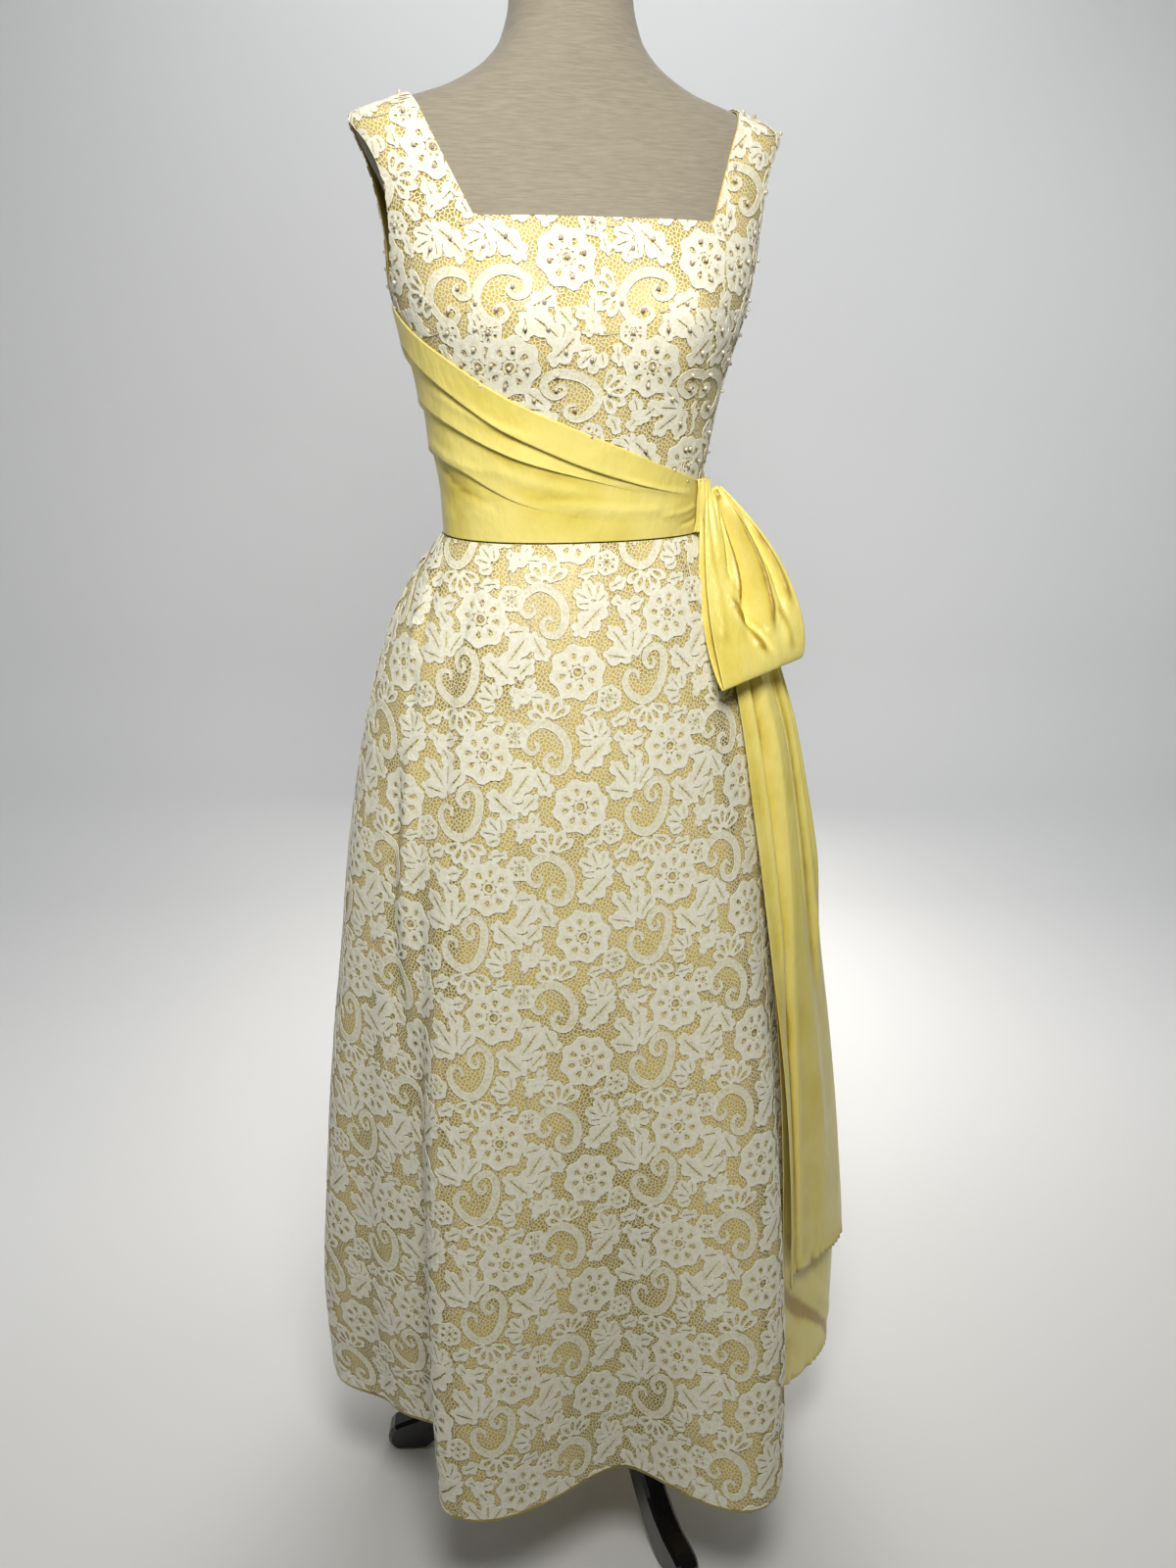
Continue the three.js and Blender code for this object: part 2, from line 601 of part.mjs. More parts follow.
// The lining is cut in seven gores, the lace over it in three panels.
function addSkirt() {
  const gores = [
    ['front', 'front_ridge_right', 'front_ridge_left'],
    ['front_side_left', 'front_ridge_left', 'side_seam_left'],
    ['front_side_right', 'side_seam_right', 'front_ridge_right'],
    ['back_side_left', 'side_seam_left', 'back_groove_left'],
    ['back_left', 'back_groove_left', 'centre_back'],
    ['back_right', 'centre_back', 'back_groove_outer_right'],
    ['back_side_right', 'back_groove_outer_right', 'side_seam_right'],
  ];
  for (const [part, from, to] of gores) {
    skirtPiece(`skirt_lining_${part}`, from, to, 0, LINING_WALL, LINING_HEM, SATIN);
  }
  const panels = [
    ['front', 'side_seam_right', 'side_seam_left'],
    ['back_left', 'side_seam_left', 'centre_back'],
    ['back_right', 'centre_back', 'side_seam_right'],
  ];
  const laceIn = LINING_WALL + SEAM_GAP;
  for (const [part, from, to] of panels) {
    skirtPiece(`skirt_lace_${part}`, from, to, laceIn, laceIn + LACE_WALL, HEM, LACE);
  }
}

// Solid of whole rings, closed flat at both ends.
function ringSolid(rings) {
  const count = rings[0].length;
  const centre = (ring) => ring.reduce((sum, p) => sum.add(p), new THREE.Vector3()).divideScalar(count);
  const points = [...rings.flat(), centre(rings[0]), centre(rings[rings.length - 1])];
  const bottom = points.length - 2;
  const top = points.length - 1;
  const faces = [];
  for (let c = 0; c < count; c += 1) {
    const next = (c + 1) % count;
    for (let r = 0; r + 1 < rings.length; r += 1) {
      const a = r * count + c;
      const b = r * count + next;
      faces.push(a, b, b + count, a, b + count, a + count);
    }
    faces.push(bottom, next, c);
    faces.push(top, (rings.length - 1) * count + c, (rings.length - 1) * count + next);
  }
  const geometry = new THREE.BufferGeometry();
  geometry.setAttribute('position', new THREE.Float32BufferAttribute(points.flatMap((p) => p.toArray()), 3));
  geometry.setIndex(faces);
  return geometry;
}

function addForm() {
  const angles = steps(-SIDE, 360 - SIDE, 360 / ANGLE_STEP).slice(0, -1);
  const heights = [...RINGS_BELOW, ...RINGS_BODICE, ...RINGS_NECK];
  addPiece('form_torso', ringSolid(heights.map((z) => angles.map((angle) => formPoint(angle, z)))), LINEN);
}

function cylinder(radius, bottom, top, sides) {
  const geometry = new THREE.CylinderGeometry(radius, radius, top - bottom, sides);
  geometry.rotateX(Math.PI / 2);
  geometry.translate(STAND.x, STAND.y, (top + bottom) / 2);
  return geometry;
}

function legOutline() {
  const outline = new THREE.Shape();
  outline.moveTo(STAND.hubRadius + SEAM_GAP, LEG_START);
  for (const curve of LEG_TOP) outline.bezierCurveTo(...curve);
  outline.lineTo(LEG_HEEL, 0);
  for (const curve of LEG_UNDERSIDE) outline.bezierCurveTo(...curve);
  return outline;
}

function addStand() {
  addPiece('stand_pole', cylinder(STAND.poleRadius, STAND.hubTop + SEAM_GAP, BODY[0].z - SEAM_GAP, 16), BLACK);
  addPiece('stand_hub', cylinder(STAND.hubRadius, STAND.hubBottom, STAND.hubTop, 24), BLACK);
  LEG_ANGLES.forEach((angle, i) => {
    const leg = new THREE.ExtrudeGeometry(legOutline(), {
      depth: LEG_WIDTH - 2 * LEG_BEVEL,
      bevelThickness: LEG_BEVEL,
      bevelSize: LEG_BEVEL,
      bevelOffset: -LEG_BEVEL,
      bevelSegments: 1,
      curveSegments: 6,
    });
    leg.translate(0, 0, LEG_BEVEL - LEG_WIDTH / 2);
    leg.rotateX(Math.PI / 2);
    const mesh = addPiece(`stand_leg_${i + 1}`, leg, BLACK);
    mesh.rotation.z = radians(angle - 90);
    mesh.position.set(STAND.x, STAND.y, 0);
  });
}

addForm();
addBodice();
addSash('sash_front', SASH_FRONT, -SIDE, KNOT_ANGLE);
addSash('sash_back', SASH_BACK, KNOT_ANGLE, 360 - SIDE);
addKnot();
addLoop();
addTail('tail_front', TAIL_FRONT);
addTail('tail_back', TAIL_BACK);
addSkirt();
addStand();

// The origin is the middle of the base, on the floor.
gown.updateMatrixWorld(true);
const box = new THREE.Box3().setFromObject(gown, true);
const middle = box.getCenter(new THREE.Vector3());
gown.position.set(-middle.x, -middle.y, -box.min.z);

export default gown;
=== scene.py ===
"""Lace evening gown on a dress form: the looks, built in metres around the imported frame.

Points are worked out with the wearer's front towards -Y, angles in degrees from the front
centre towards the wearer's left, and are moved onto the frame by SHIFT.
"""

import math
from collections import namedtuple

import bmesh
import bpy
import numpy as np
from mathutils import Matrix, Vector


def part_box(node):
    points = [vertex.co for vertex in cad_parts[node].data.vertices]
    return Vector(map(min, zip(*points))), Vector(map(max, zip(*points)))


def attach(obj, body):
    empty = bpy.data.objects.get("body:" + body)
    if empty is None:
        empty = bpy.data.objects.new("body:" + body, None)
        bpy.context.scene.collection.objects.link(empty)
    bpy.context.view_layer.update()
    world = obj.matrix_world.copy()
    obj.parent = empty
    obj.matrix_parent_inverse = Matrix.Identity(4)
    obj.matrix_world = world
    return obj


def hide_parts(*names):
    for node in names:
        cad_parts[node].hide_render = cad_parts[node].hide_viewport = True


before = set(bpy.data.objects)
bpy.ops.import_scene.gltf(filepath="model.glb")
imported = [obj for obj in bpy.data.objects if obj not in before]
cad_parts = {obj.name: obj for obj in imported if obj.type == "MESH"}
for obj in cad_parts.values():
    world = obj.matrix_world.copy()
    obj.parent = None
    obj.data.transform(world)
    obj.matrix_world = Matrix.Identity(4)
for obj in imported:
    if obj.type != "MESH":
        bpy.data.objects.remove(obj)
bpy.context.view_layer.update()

# ---- Driving dimensions, heights above the floor ----

WAIST = 1.176
NECKLINE_FRONT = 1.450
NECKLINE_BACK = 1.468
NECKLINE_HALF = 0.106
STRAP_INNER = 0.150
STRAP_TOP = 1.553
HEM = 0.210
LINING_HEM = 0.204
HIP = 1.035
SKIRT_TOP = WAIST - 0.0005

# How far each layer lies out from the body's own surface, and from the skirt's.
LINING_OUT, NET_OUT, MOTIF_OUT, LAP_OUT, SASH_OUT = 0.0019, 0.0026, 0.0027, 0.0040, 0.0060
SKIRT_LINING_OUT, SKIRT_NET_OUT, SKIRT_MOTIF_OUT = 0.0012, 0.0020, 0.0021
CLOTH = 0.0009
# A hollow this deep gets the satin's deepest yellow, as painted shade.
DEEPEST_HOLLOW = 0.0028

PRINCESS = 40.0
SIDE = 90.0
KNOT_ANGLE = 58.0

# Body: half width and depths at each height, over a rounded oblong.
BODY_POWER = 2.3
BODY_COLUMNS = ("z", "half", "front", "back")
BODY = [
    (0.930, 0.176, 0.118, 0.134),
    (1.000, 0.179, 0.116, 0.136),
    (1.060, 0.166, 0.106, 0.122),
    (1.120, 0.143, 0.095, 0.103),
    (WAIST, 0.124, 0.088, 0.090),
    (1.215, 0.125, 0.089, 0.091),
    (1.260, 0.132, 0.096, 0.095),
    (1.310, 0.141, 0.107, 0.100),
    (1.345, 0.151, 0.115, 0.105),
    (1.372, 0.160, 0.118, 0.109),
    (1.405, 0.169, 0.114, 0.113),
    (1.450, 0.177, 0.099, 0.114),
    (1.490, 0.187, 0.080, 0.102),
    (1.515, 0.194, 0.067, 0.089),
    (1.530, 0.197, 0.060, 0.078),
    (1.545, 0.164, 0.056, 0.070),
    (1.562, 0.112, 0.053, 0.062),
    (1.583, 0.077, 0.051, 0.056),
    (1.602, 0.062, 0.049, 0.052),
    (1.633, 0.054, 0.048, 0.050),
    (1.668, 0.055, 0.050, 0.051),
]
# Each cup: its middle across and up, how far it spreads and how far it stands out.
BUST_X, BUST_Z, BUST_WIDE, BUST_TALL, BUST_RISE = 0.080, 1.370, 0.046, 0.052, 0.015
# The form's shoulders end inside the armholes, clear of the straps.
SHOULDER_FROM, SHOULDER_TO, SHOULDER_Z, SHOULDER_TALL, SHOULDER_INSET = 0.125, 0.180, 1.462, 0.052, 0.015
ARMHOLE_Y, ARMHOLE_Z, ARMHOLE_DEPTH, ARMHOLE_HEIGHT = 0.006, 1.465, 0.042, 0.068

# Skirt without its folds, in the same way.
SKIRT_POWER_TOP = 2.3
SKIRT_POWER_HIP = 2.05
SKIRT_COLUMNS = ("z", "half", "front", "back")
SKIRT = [
    (WAIST, 0.127, 0.091, 0.093),
    (1.140, 0.153, 0.109, 0.122),
    (1.100, 0.176, 0.123, 0.150),
    (1.060, 0.193, 0.134, 0.170),
    (1.010, 0.209, 0.146, 0.188),
    (0.970, 0.219, 0.155, 0.200),
    (0.910, 0.231, 0.167, 0.214),
    (0.845, 0.243, 0.180, 0.226),
    (0.726, 0.259, 0.204, 0.246),
    (0.600, 0.277, 0.228, 0.266),
    (0.460, 0.293, 0.252, 0.286),
    (0.315, 0.304, 0.274, 0.304),
    (HEM, 0.301, 0.288, 0.312),
]
# Folds: angle at the hem and at the hip, how far each stands out at the hem, and its top.
FOLD_GROWTH = 1.25
FOLD_COLUMNS = ("name", "hem", "hip", "reach", "start")
FOLDS = [
    ("back_groove_right", -172, -170, -0.018, 1.100),
    ("back_fold_right", -152, -150, 0.024, 1.120),
    ("back_groove_outer_right", -131, -132, -0.016, 1.100),
    ("side_fold_right", -106, -108, 0.005, 1.100),
    ("side_seam_right", -93, -93, -0.006, 1.050),
    ("front_side_fold_right", -81, -82, 0.008, 1.100),
    ("front_side_groove_right", -66, -72, -0.030, 1.000),
    ("deep_groove_right", -51, -62, -0.048, 0.960),
    ("front_ridge_right", -37, -52, 0.040, 0.990),
    ("front_hollow", -4, -4, -0.032, 0.800),
    ("front_ridge_left", 19, 46, 0.070, 0.920),
    ("deep_groove_left", 43, 60, -0.042, 0.960),
    ("front_side_fold_left", 68, 74, 0.004, 1.000),
    ("side_seam_left", 92, 93, -0.012, 1.050),
    ("side_fold_left", 112, 110, 0.018, 1.100),
    ("back_groove_left", 134, 132, -0.016, 1.100),
    ("back_fold_left", 156, 152, 0.024, 1.120),
    ("centre_back", 180, 180, 0.006, 1.050),
]
FOLD_NAMES = [row[0] for row in FOLDS]

SASH_COLUMNS = ("angle", "bottom", "top")
SASH_FRONT = [
    (-90, 1.177, 1.386),
    (-60, 1.177, 1.346),
    (-30, 1.177, 1.302),
    (0, 1.177, 1.271),
    (30, 1.177, 1.244),
    (KNOT_ANGLE, 1.177, 1.224),
]
SASH_BACK = [
    (KNOT_ANGLE, 1.177, 1.224),
    (100, 1.177, 1.240),
    (150, 1.177, 1.272),
    (200, 1.177, 1.312),
    (240, 1.177, 1.354),
    (270, 1.177, 1.386),
]

KNOT_MIDDLE, KNOT_HALF_ANGLE, KNOT_BOTTOM, KNOT_TOP, KNOT_RISE = 56.5, 7.0, 1.178, 1.230, 0.009
KNOT_FACE, KNOT_BACK = 0.0071, 0.0069
KNOT_GATHERS, KNOT_GATHER_RISE = 19, 0.0026

# The loop's cloth runs from its root over a bulge to its fold and back, each from near to far edge.
LOOP_ROOT = ((0.1180, -0.0575, 1.220), (0.1300, -0.0470, 1.226))
LOOP_BULGE = ((0.095, -0.102, 1.109), (0.205, -0.089, 1.149))
LOOP_FOLD = ((0.108, -0.151, 1.041), (0.203, -0.114, 1.058))
LOOP_OUTWARD = np.array((0.36, -0.93, 0.0))
LOOP_ROOT_GAP, LOOP_GAP_LOW, LOOP_GAP_HIGH = 0.0026, 0.009, 0.019
LOOP_GATHERS, LOOP_GATHER_RISE, LOOP_GATHER_FADE = 5, 0.0016, 0.25
LOOP_INNER_FOLDS = 0.3
# Folds on the loop's outer side: from and to as shares across and twice the share down.
LOOP_CREASES = [
    (0.46, 0.24, 0.33, 0.95, 0.030, -0.0050),
    (0.53, 0.26, 0.40, 1.20, 0.028, 0.0036),
    (0.64, 0.16, 0.47, 1.60, 0.085, -0.0260),
    (0.78, 0.20, 0.64, 1.60, 0.040, 0.0080),
    (0.86, 0.40, 0.83, 1.50, 0.030, -0.0050),
    (0.93, 0.40, 0.92, 1.45, 0.030, 0.0030),
    (0.26, 1.00, 0.55, 1.80, 0.040, 0.0036),
    (0.33, 1.05, 0.64, 1.82, 0.030, -0.0032),
    (0.72, 1.20, 0.84, 1.85, 0.045, 0.0030),
    (0.10, 0.30, 0.16, 1.60, 0.050, 0.0014),
]

TAIL_TOP = KNOT_BOTTOM - 0.0016
TAIL_EDGE_COLUMNS = ("z", "near", "far")
TAIL_EDGES = [
    (1.178, 63, 74),
    (1.150, 59, 75),
    (1.110, 54, 76),
    (1.030, 49, 75),
    (0.900, 46, 74),
    (0.700, 42, 74),
    (0.320, 40, 75),
    (0.168, 44, 75),
]
TAIL_FOLLOW = 0.75
Tail = namedtuple("Tail", ("inset", "hem_near", "hem_far", "clear_top", "clear_hem", "wave", "waves"))
TAIL_FRONT = Tail(0, 0.368, 0.338, 0.0077, 0.024, 0.0045, 2.5)
TAIL_BACK = Tail(5, 0.192, 0.180, 0.0046, 0.015, 0.0015, 2)

# Where the frame stands: the pole's middle is this far from the gown's own centre line.
POLE = (-0.004, -0.030)
LOW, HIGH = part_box("stand_pole")
SHIFT = np.array(((LOW.x + HIGH.x) / 2 - POLE[0], (LOW.y + HIGH.y) / 2 - POLE[1], 0.0))


# ---- Curves and surfaces ----


class Curve:
    """Smooth curve through one column of a table, which never overshoots its rows."""

    def __init__(self, columns, rows, key, name):
        k, n = columns.index(key), columns.index(name)
        data = np.array(sorted((row[k], row[n]) for row in rows), float)
        self.x, self.y = data[:, 0], data[:, 1]
        slope = np.diff(self.y) / np.diff(self.x)
        product = slope[:-1] * slope[1:]
        total = np.where(product > 0, slope[:-1] + slope[1:], 1)
        inner = np.where(product > 0, 2 * product / total, 0)
        self.tangent = np.concatenate([slope[:1], inner, slope[-1:]])

    def __call__(self, at):
        at = np.clip(at, self.x[0], self.x[-1])
        i = np.clip(np.searchsorted(self.x, at, side="right") - 1, 0, len(self.x) - 2)
        width = self.x[i + 1] - self.x[i]
        t = (at - self.x[i]) / width
        ease = t * t * (3 - 2 * t)
        bend = (t**3 - 2 * t**2 + t) * self.tangent[i] + (t**3 - t**2) * self.tangent[i + 1]
        return self.y[i] * (1 - ease) + self.y[i + 1] * ease + width * bend


body_half, body_front, body_back = (Curve(BODY_COLUMNS, BODY, "z", name) for name in BODY_COLUMNS[1:])
skirt_half, skirt_front, skirt_back = (Curve(SKIRT_COLUMNS, SKIRT, "z", name) for name in SKIRT_COLUMNS[1:])
tail_near, tail_far = (Curve(TAIL_EDGE_COLUMNS, TAIL_EDGES, "z", name) for name in ("near", "far"))


def lerp(a, b, t):
    return a + (b - a) * t


def part_of(value, start, end):
    """How far value has come from start to end, between 0 and 1."""
    return np.clip((value - start) / (end - start), 0, 1)


def smooth(t):
    t = np.clip(t, 0, 1)
    return t * t * (3 - 2 * t)


def bump(value, centre, width):
    return np.exp(-(((value - centre) / width) ** 2))


def body_point(angle, z):
    angle, z = np.broadcast_arrays(np.asarray(angle, float), np.asarray(z, float))
    s, c = np.sin(np.radians(angle)), np.cos(np.radians(angle))
    scale = (np.abs(s) ** BODY_POWER + np.abs(c) ** BODY_POWER) ** (-1 / BODY_POWER)
    x = body_half(z) * s * scale
    depth = np.where(c > 0, body_front(z), body_back(z))
    cup = bump(np.abs(x), BUST_X, BUST_WIDE) * bump(z, BUST_Z, BUST_TALL)
    bust = np.where(c > 0, BUST_RISE * cup * np.minimum(1, c * 2), 0)
    return np.stack([x, -depth * c * scale - bust, z], -1)


def form_point(angle, z):
    point = body_point(angle, z)
    x, z = point[..., 0], point[..., 2]
    outer = part_of(np.abs(x), SHOULDER_FROM, SHOULDER_TO)
    x -= np.sign(x) * SHOULDER_INSET * outer * bump(z, SHOULDER_Z, SHOULDER_TALL)
    return point


def skirt_base(angle, z):
    s, c = np.abs(np.sin(np.radians(angle))), np.cos(np.radians(angle))
    depth = np.where(c > 0, skirt_front(z), skirt_back(z))
    power = lerp(SKIRT_POWER_TOP, SKIRT_POWER_HIP, part_of(z, WAIST, HIP))
    return ((s / skirt_half(z)) ** power + (np.abs(c) / depth) ** power) ** (-1 / power)


def fold_column(name):
    return np.array([row[FOLD_COLUMNS.index(name)] for row in FOLDS], float)


FOLD_HEM, FOLD_HIP, FOLD_REACH, FOLD_START = map(fold_column, ("hem", "hip", "reach", "start"))


def around(radius, angle, z):
    angle = np.radians(angle)
    return np.stack([radius * np.sin(angle), -radius * np.cos(angle), z], -1)


def skirt_angle(position, z):
    """Angle of a place in the folds table, whole numbers on a fold's own line."""
    count = len(FOLDS)
    i = np.floor(position).astype(int)
    j = i + 1
    low = part_of(z, HIP, HEM)
    start = lerp(FOLD_HIP[i % count], FOLD_HEM[i % count], low) + 360 * (i // count)
    end = lerp(FOLD_HIP[j % count], FOLD_HEM[j % count], low) + 360 * (j // count)
    return lerp(start, end, position - i)


def skirt_fold(position, z):
    count = len(FOLDS)
    i = np.floor(position).astype(int)

    def reach(k):
        k = k % count
        return FOLD_REACH[k] * part_of(z, FOLD_START[k], HEM) ** FOLD_GROWTH

    ease = 0.5 - 0.5 * np.cos(np.pi * (position - i))
    return lerp(reach(i), reach(i + 1), ease)


def fold_at(angle, z):
    """How far the folds stand out at an angle between two of the table's rows."""
    lines = lerp(FOLD_HIP, FOLD_HEM, part_of(z, HIP, HEM)[..., None])
    i = np.clip((lines <= angle[..., None]).sum(-1) - 1, 0, len(FOLDS) - 2)
    start, end = (np.take_along_axis(lines, (i + k)[..., None], -1)[..., 0] for k in (0, 1))
    return skirt_fold(i + part_of(angle, start, end), z)


CREASE_WANDER, CREASE_WAVES = 0.18, 9


def creases(u, v, table):
    """Sum of soft ridges and troughs, each along a line and fading at both its ends."""
    total = 0.0
    for start_u, start_v, end_u, end_v, width, depth in table:
        along = np.array((end_u - start_u, end_v - start_v))
        length = np.hypot(*along)
        along = along / length
        t = ((u - start_u) * along[0] + (v - start_v) * along[1]) / length
        away = (u - start_u) * along[1] - (v - start_v) * along[0]
        across = (away + CREASE_WANDER * width * np.sin(CREASE_WAVES * t)) / width
        fade = smooth(part_of(t, -0.05, 0.25)) * smooth(part_of(t, 1.05, 0.75))
        total = total + depth * np.exp(-(across**2)) * fade
    return total


# Creases of the skirt: from and to as fold places and heights, width in fold places, and depth.
# A place of 8 is the right front ridge, 10 the left one and 17 the centre back.
SKIRT_CREASE_UNIT = 0.06
SKIRT_CREASES = [
    (8.05, 1.172, 8.05, 0.900, 0.26, 0.0030),
    (7.62, 1.160, 7.70, 0.940, 0.30, -0.0020),
    (6.62, 1.030, 6.98, 0.680, 0.26, 0.0044),
    (6.20, 0.985, 6.56, 0.660, 0.26, -0.0040),
    (5.20, 1.172, 6.40, 1.040, 0.16, 0.0034),
    (5.90, 1.160, 6.60, 0.980, 0.20, -0.0030),
    (3.60, 1.172, 4.05, 1.060, 0.16, 0.0030),
    (8.50, 0.900, 8.60, 0.480, 0.22, -0.0040),
    (9.30, 0.760, 9.20, 0.330, 0.18, 0.0036),
    (12.6, 1.172, 12.4, 1.000, 0.20, 0.0030),
    (13.2, 1.140, 13.5, 0.860, 0.22, -0.0040),
    (14.5, 1.172, 14.6, 0.930, 0.18, 0.0040),
    (15.5, 1.150, 15.4, 0.800, 0.24, -0.0042),
    (16.3, 1.172, 16.3, 0.960, 0.16, 0.0036),
    (17.9, 1.172, 18.2, 0.940, 0.18, 0.0036),
    (1.30, 1.150, 1.10, 0.780, 0.26, -0.0044),
    (2.30, 1.172, 2.40, 0.900, 0.18, 0.0038),
    (15.9, 0.760, 16.1, 0.330, 0.24, 0.0046),
    (0.55, 0.720, 0.40, 0.300, 0.26, -0.0050),
]


def skirt_creases(position, z):
    places = np.mod(position - 0.5, len(FOLDS)) + 0.5
    table = [
        (u0 * SKIRT_CREASE_UNIT, z0, u1 * SKIRT_CREASE_UNIT, z1, width * SKIRT_CREASE_UNIT, depth)
        for u0, z0, u1, z1, width, depth in SKIRT_CREASES
    ]
    return creases(places * SKIRT_CREASE_UNIT, z, table)


def skirt_point(position, z):
    position, z = np.broadcast_arrays(np.asarray(position, float), np.asarray(z, float))
    angle = skirt_angle(position, z)
    return around(skirt_base(angle, z) + skirt_fold(position, z) + skirt_creases(position, z), angle, z)


# Steps of a place and a height over which a surface's direction is taken.
BODY_STEP = (0.3, 0.0008)
SKIRT_STEP = (0.03, 0.002)


def normals(surface, u, v, step_u, step_v):
    along_u = surface(u + step_u, v) - surface(u - step_u, v)
    along_v = surface(u, v + step_v) - surface(u, v - step_v)
    normal = np.cross(along_u, along_v)
    return normal / np.linalg.norm(normal, axis=-1, keepdims=True)


def body_out(angle, z, distance):
    away = normals(body_point, angle, z, *BODY_STEP)
    return body_point(angle, z) + away * np.asarray(distance)[..., None]


def skirt_out(position, z, distance):
    """The wall keeps its real thickness while each point stays at its own height."""
    level = normals(skirt_point, position, z, *SKIRT_STEP)
    level[..., 2] = 0
    level /= (level**2).sum(-1, keepdims=True)
    return skirt_point(position, z) + level * np.asarray(distance)[..., None]


# ---- Meshes ----


def add_mesh(name, points, faces, material, uv=None, rounded=True):
    """Object from an array of points and one of faces that all have as many corners."""
    mesh = bpy.data.meshes.new(name)
    corners = faces.shape[1]
    mesh.vertices.add(len(points))
    mesh.vertices.foreach_set("co", (points + SHIFT).astype(np.float32).ravel())
    mesh.loops.add(faces.size)
    mesh.loops.foreach_set("vertex_index", faces.astype(np.int32).ravel())
    mesh.polygons.add(len(faces))
    mesh.polygons.foreach_set("loop_start", np.arange(0, faces.size, corners, dtype=np.int32))
    mesh.polygons.foreach_set("loop_total", np.full(len(faces), corners, dtype=np.int32))
    mesh.polygons.foreach_set("use_smooth", np.full(len(faces), rounded))
    if uv is not None:
        layer = mesh.uv_layers.new(name="flat")
        layer.data.foreach_set("uv", uv[faces.ravel()].astype(np.float32).ravel())
    mesh.update(calc_edges=True)
    mesh.materials.append(material)
    thing = bpy.data.objects.new(name, mesh)
    bpy.context.collection.objects.link(thing)
    return thing


def grid_faces(rows, columns, closed=False):
    index = np.arange(rows * columns).reshape(rows, columns)
    if closed:
        index = np.concatenate([index, index[:, :1]], 1)
    corners = index[:-1, :-1], index[:-1, 1:], index[1:, 1:], index[1:, :-1]
    return np.stack(corners, -1).reshape(-1, 4)


def flat_lengths(points):
    """Flat coordinates of a grid: length along each row from its middle, and up each column."""
    along = np.linalg.norm(np.diff(points, axis=1), axis=-1)
    u = np.concatenate([np.zeros((len(points), 1)), along.cumsum(1)], 1)
    u -= u[:, u.shape[1] // 2 : u.shape[1] // 2 + 1]
    middle = points[:, points.shape[1] // 2]
    up = np.concatenate([[0], np.linalg.norm(np.diff(middle, axis=0), axis=-1).cumsum()])
    return np.stack([u, np.broadcast_to(up[:, None], u.shape)], -1)


def hollows(points, reach=4):
    """How far each point of a grid lies below the mean of those about it, from -1 to 1."""
    padded = np.pad(points, ((reach, reach), (reach, reach), (0, 0)), mode="edge")
    rows, columns = points.shape[:2]
    beside = padded[reach:-reach, :columns] + padded[reach:-reach, -columns:]
    above = padded[:rows, reach:-reach] + padded[-rows:, reach:-reach]
    out = np.cross(np.gradient(points, axis=1), np.gradient(points, axis=0))
    out /= np.linalg.norm(out, axis=-1, keepdims=True) + 1e-12
    below = (((beside + above) / 2 - 2 * points) * out).sum(-1) / 2
    return np.clip(below / DEEPEST_HOLLOW, -1, 1)


def add_tone(thing, values):
    """One number for each point, which the thing's material shades by."""
    tone = thing.data.attributes.new("tone", "FLOAT", "POINT")
    tone.data.foreach_set("value", values.astype(np.float32))


def add_grid(name, points, material, keep=None, thick=CLOTH, tone=None):
    """Sheet over a grid of points, with a wall's thickness inwards."""
    rows, columns = points.shape[:2]
    faces = grid_faces(rows, columns)
    if keep is not None:
        faces = faces[keep.ravel()[faces].any(1)]
    used, faces = np.unique(faces, return_inverse=True)
    faces = faces.reshape(-1, 4)
    flat = flat_lengths(points).reshape(-1, 2)
    thing = add_mesh(name, points.reshape(-1, 3)[used], faces, material, flat[used])
    # The hollows go in as the tone by which the satin paints shade.
    add_tone(thing, (hollows(points) if tone is None else tone).ravel()[used])
    if thick:
        wall = thing.modifiers.new("wall", "SOLIDIFY")
        wall.thickness = thick
        wall.offset = -1
    return thing


def dress(piece, slot, *nodes):
    """A finished piece: it rides on the body and hides the solids it stands for. Its slot is not used."""
    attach(piece, "root")
    if nodes:
        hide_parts(*nodes)
    return piece


# ---- Materials ----


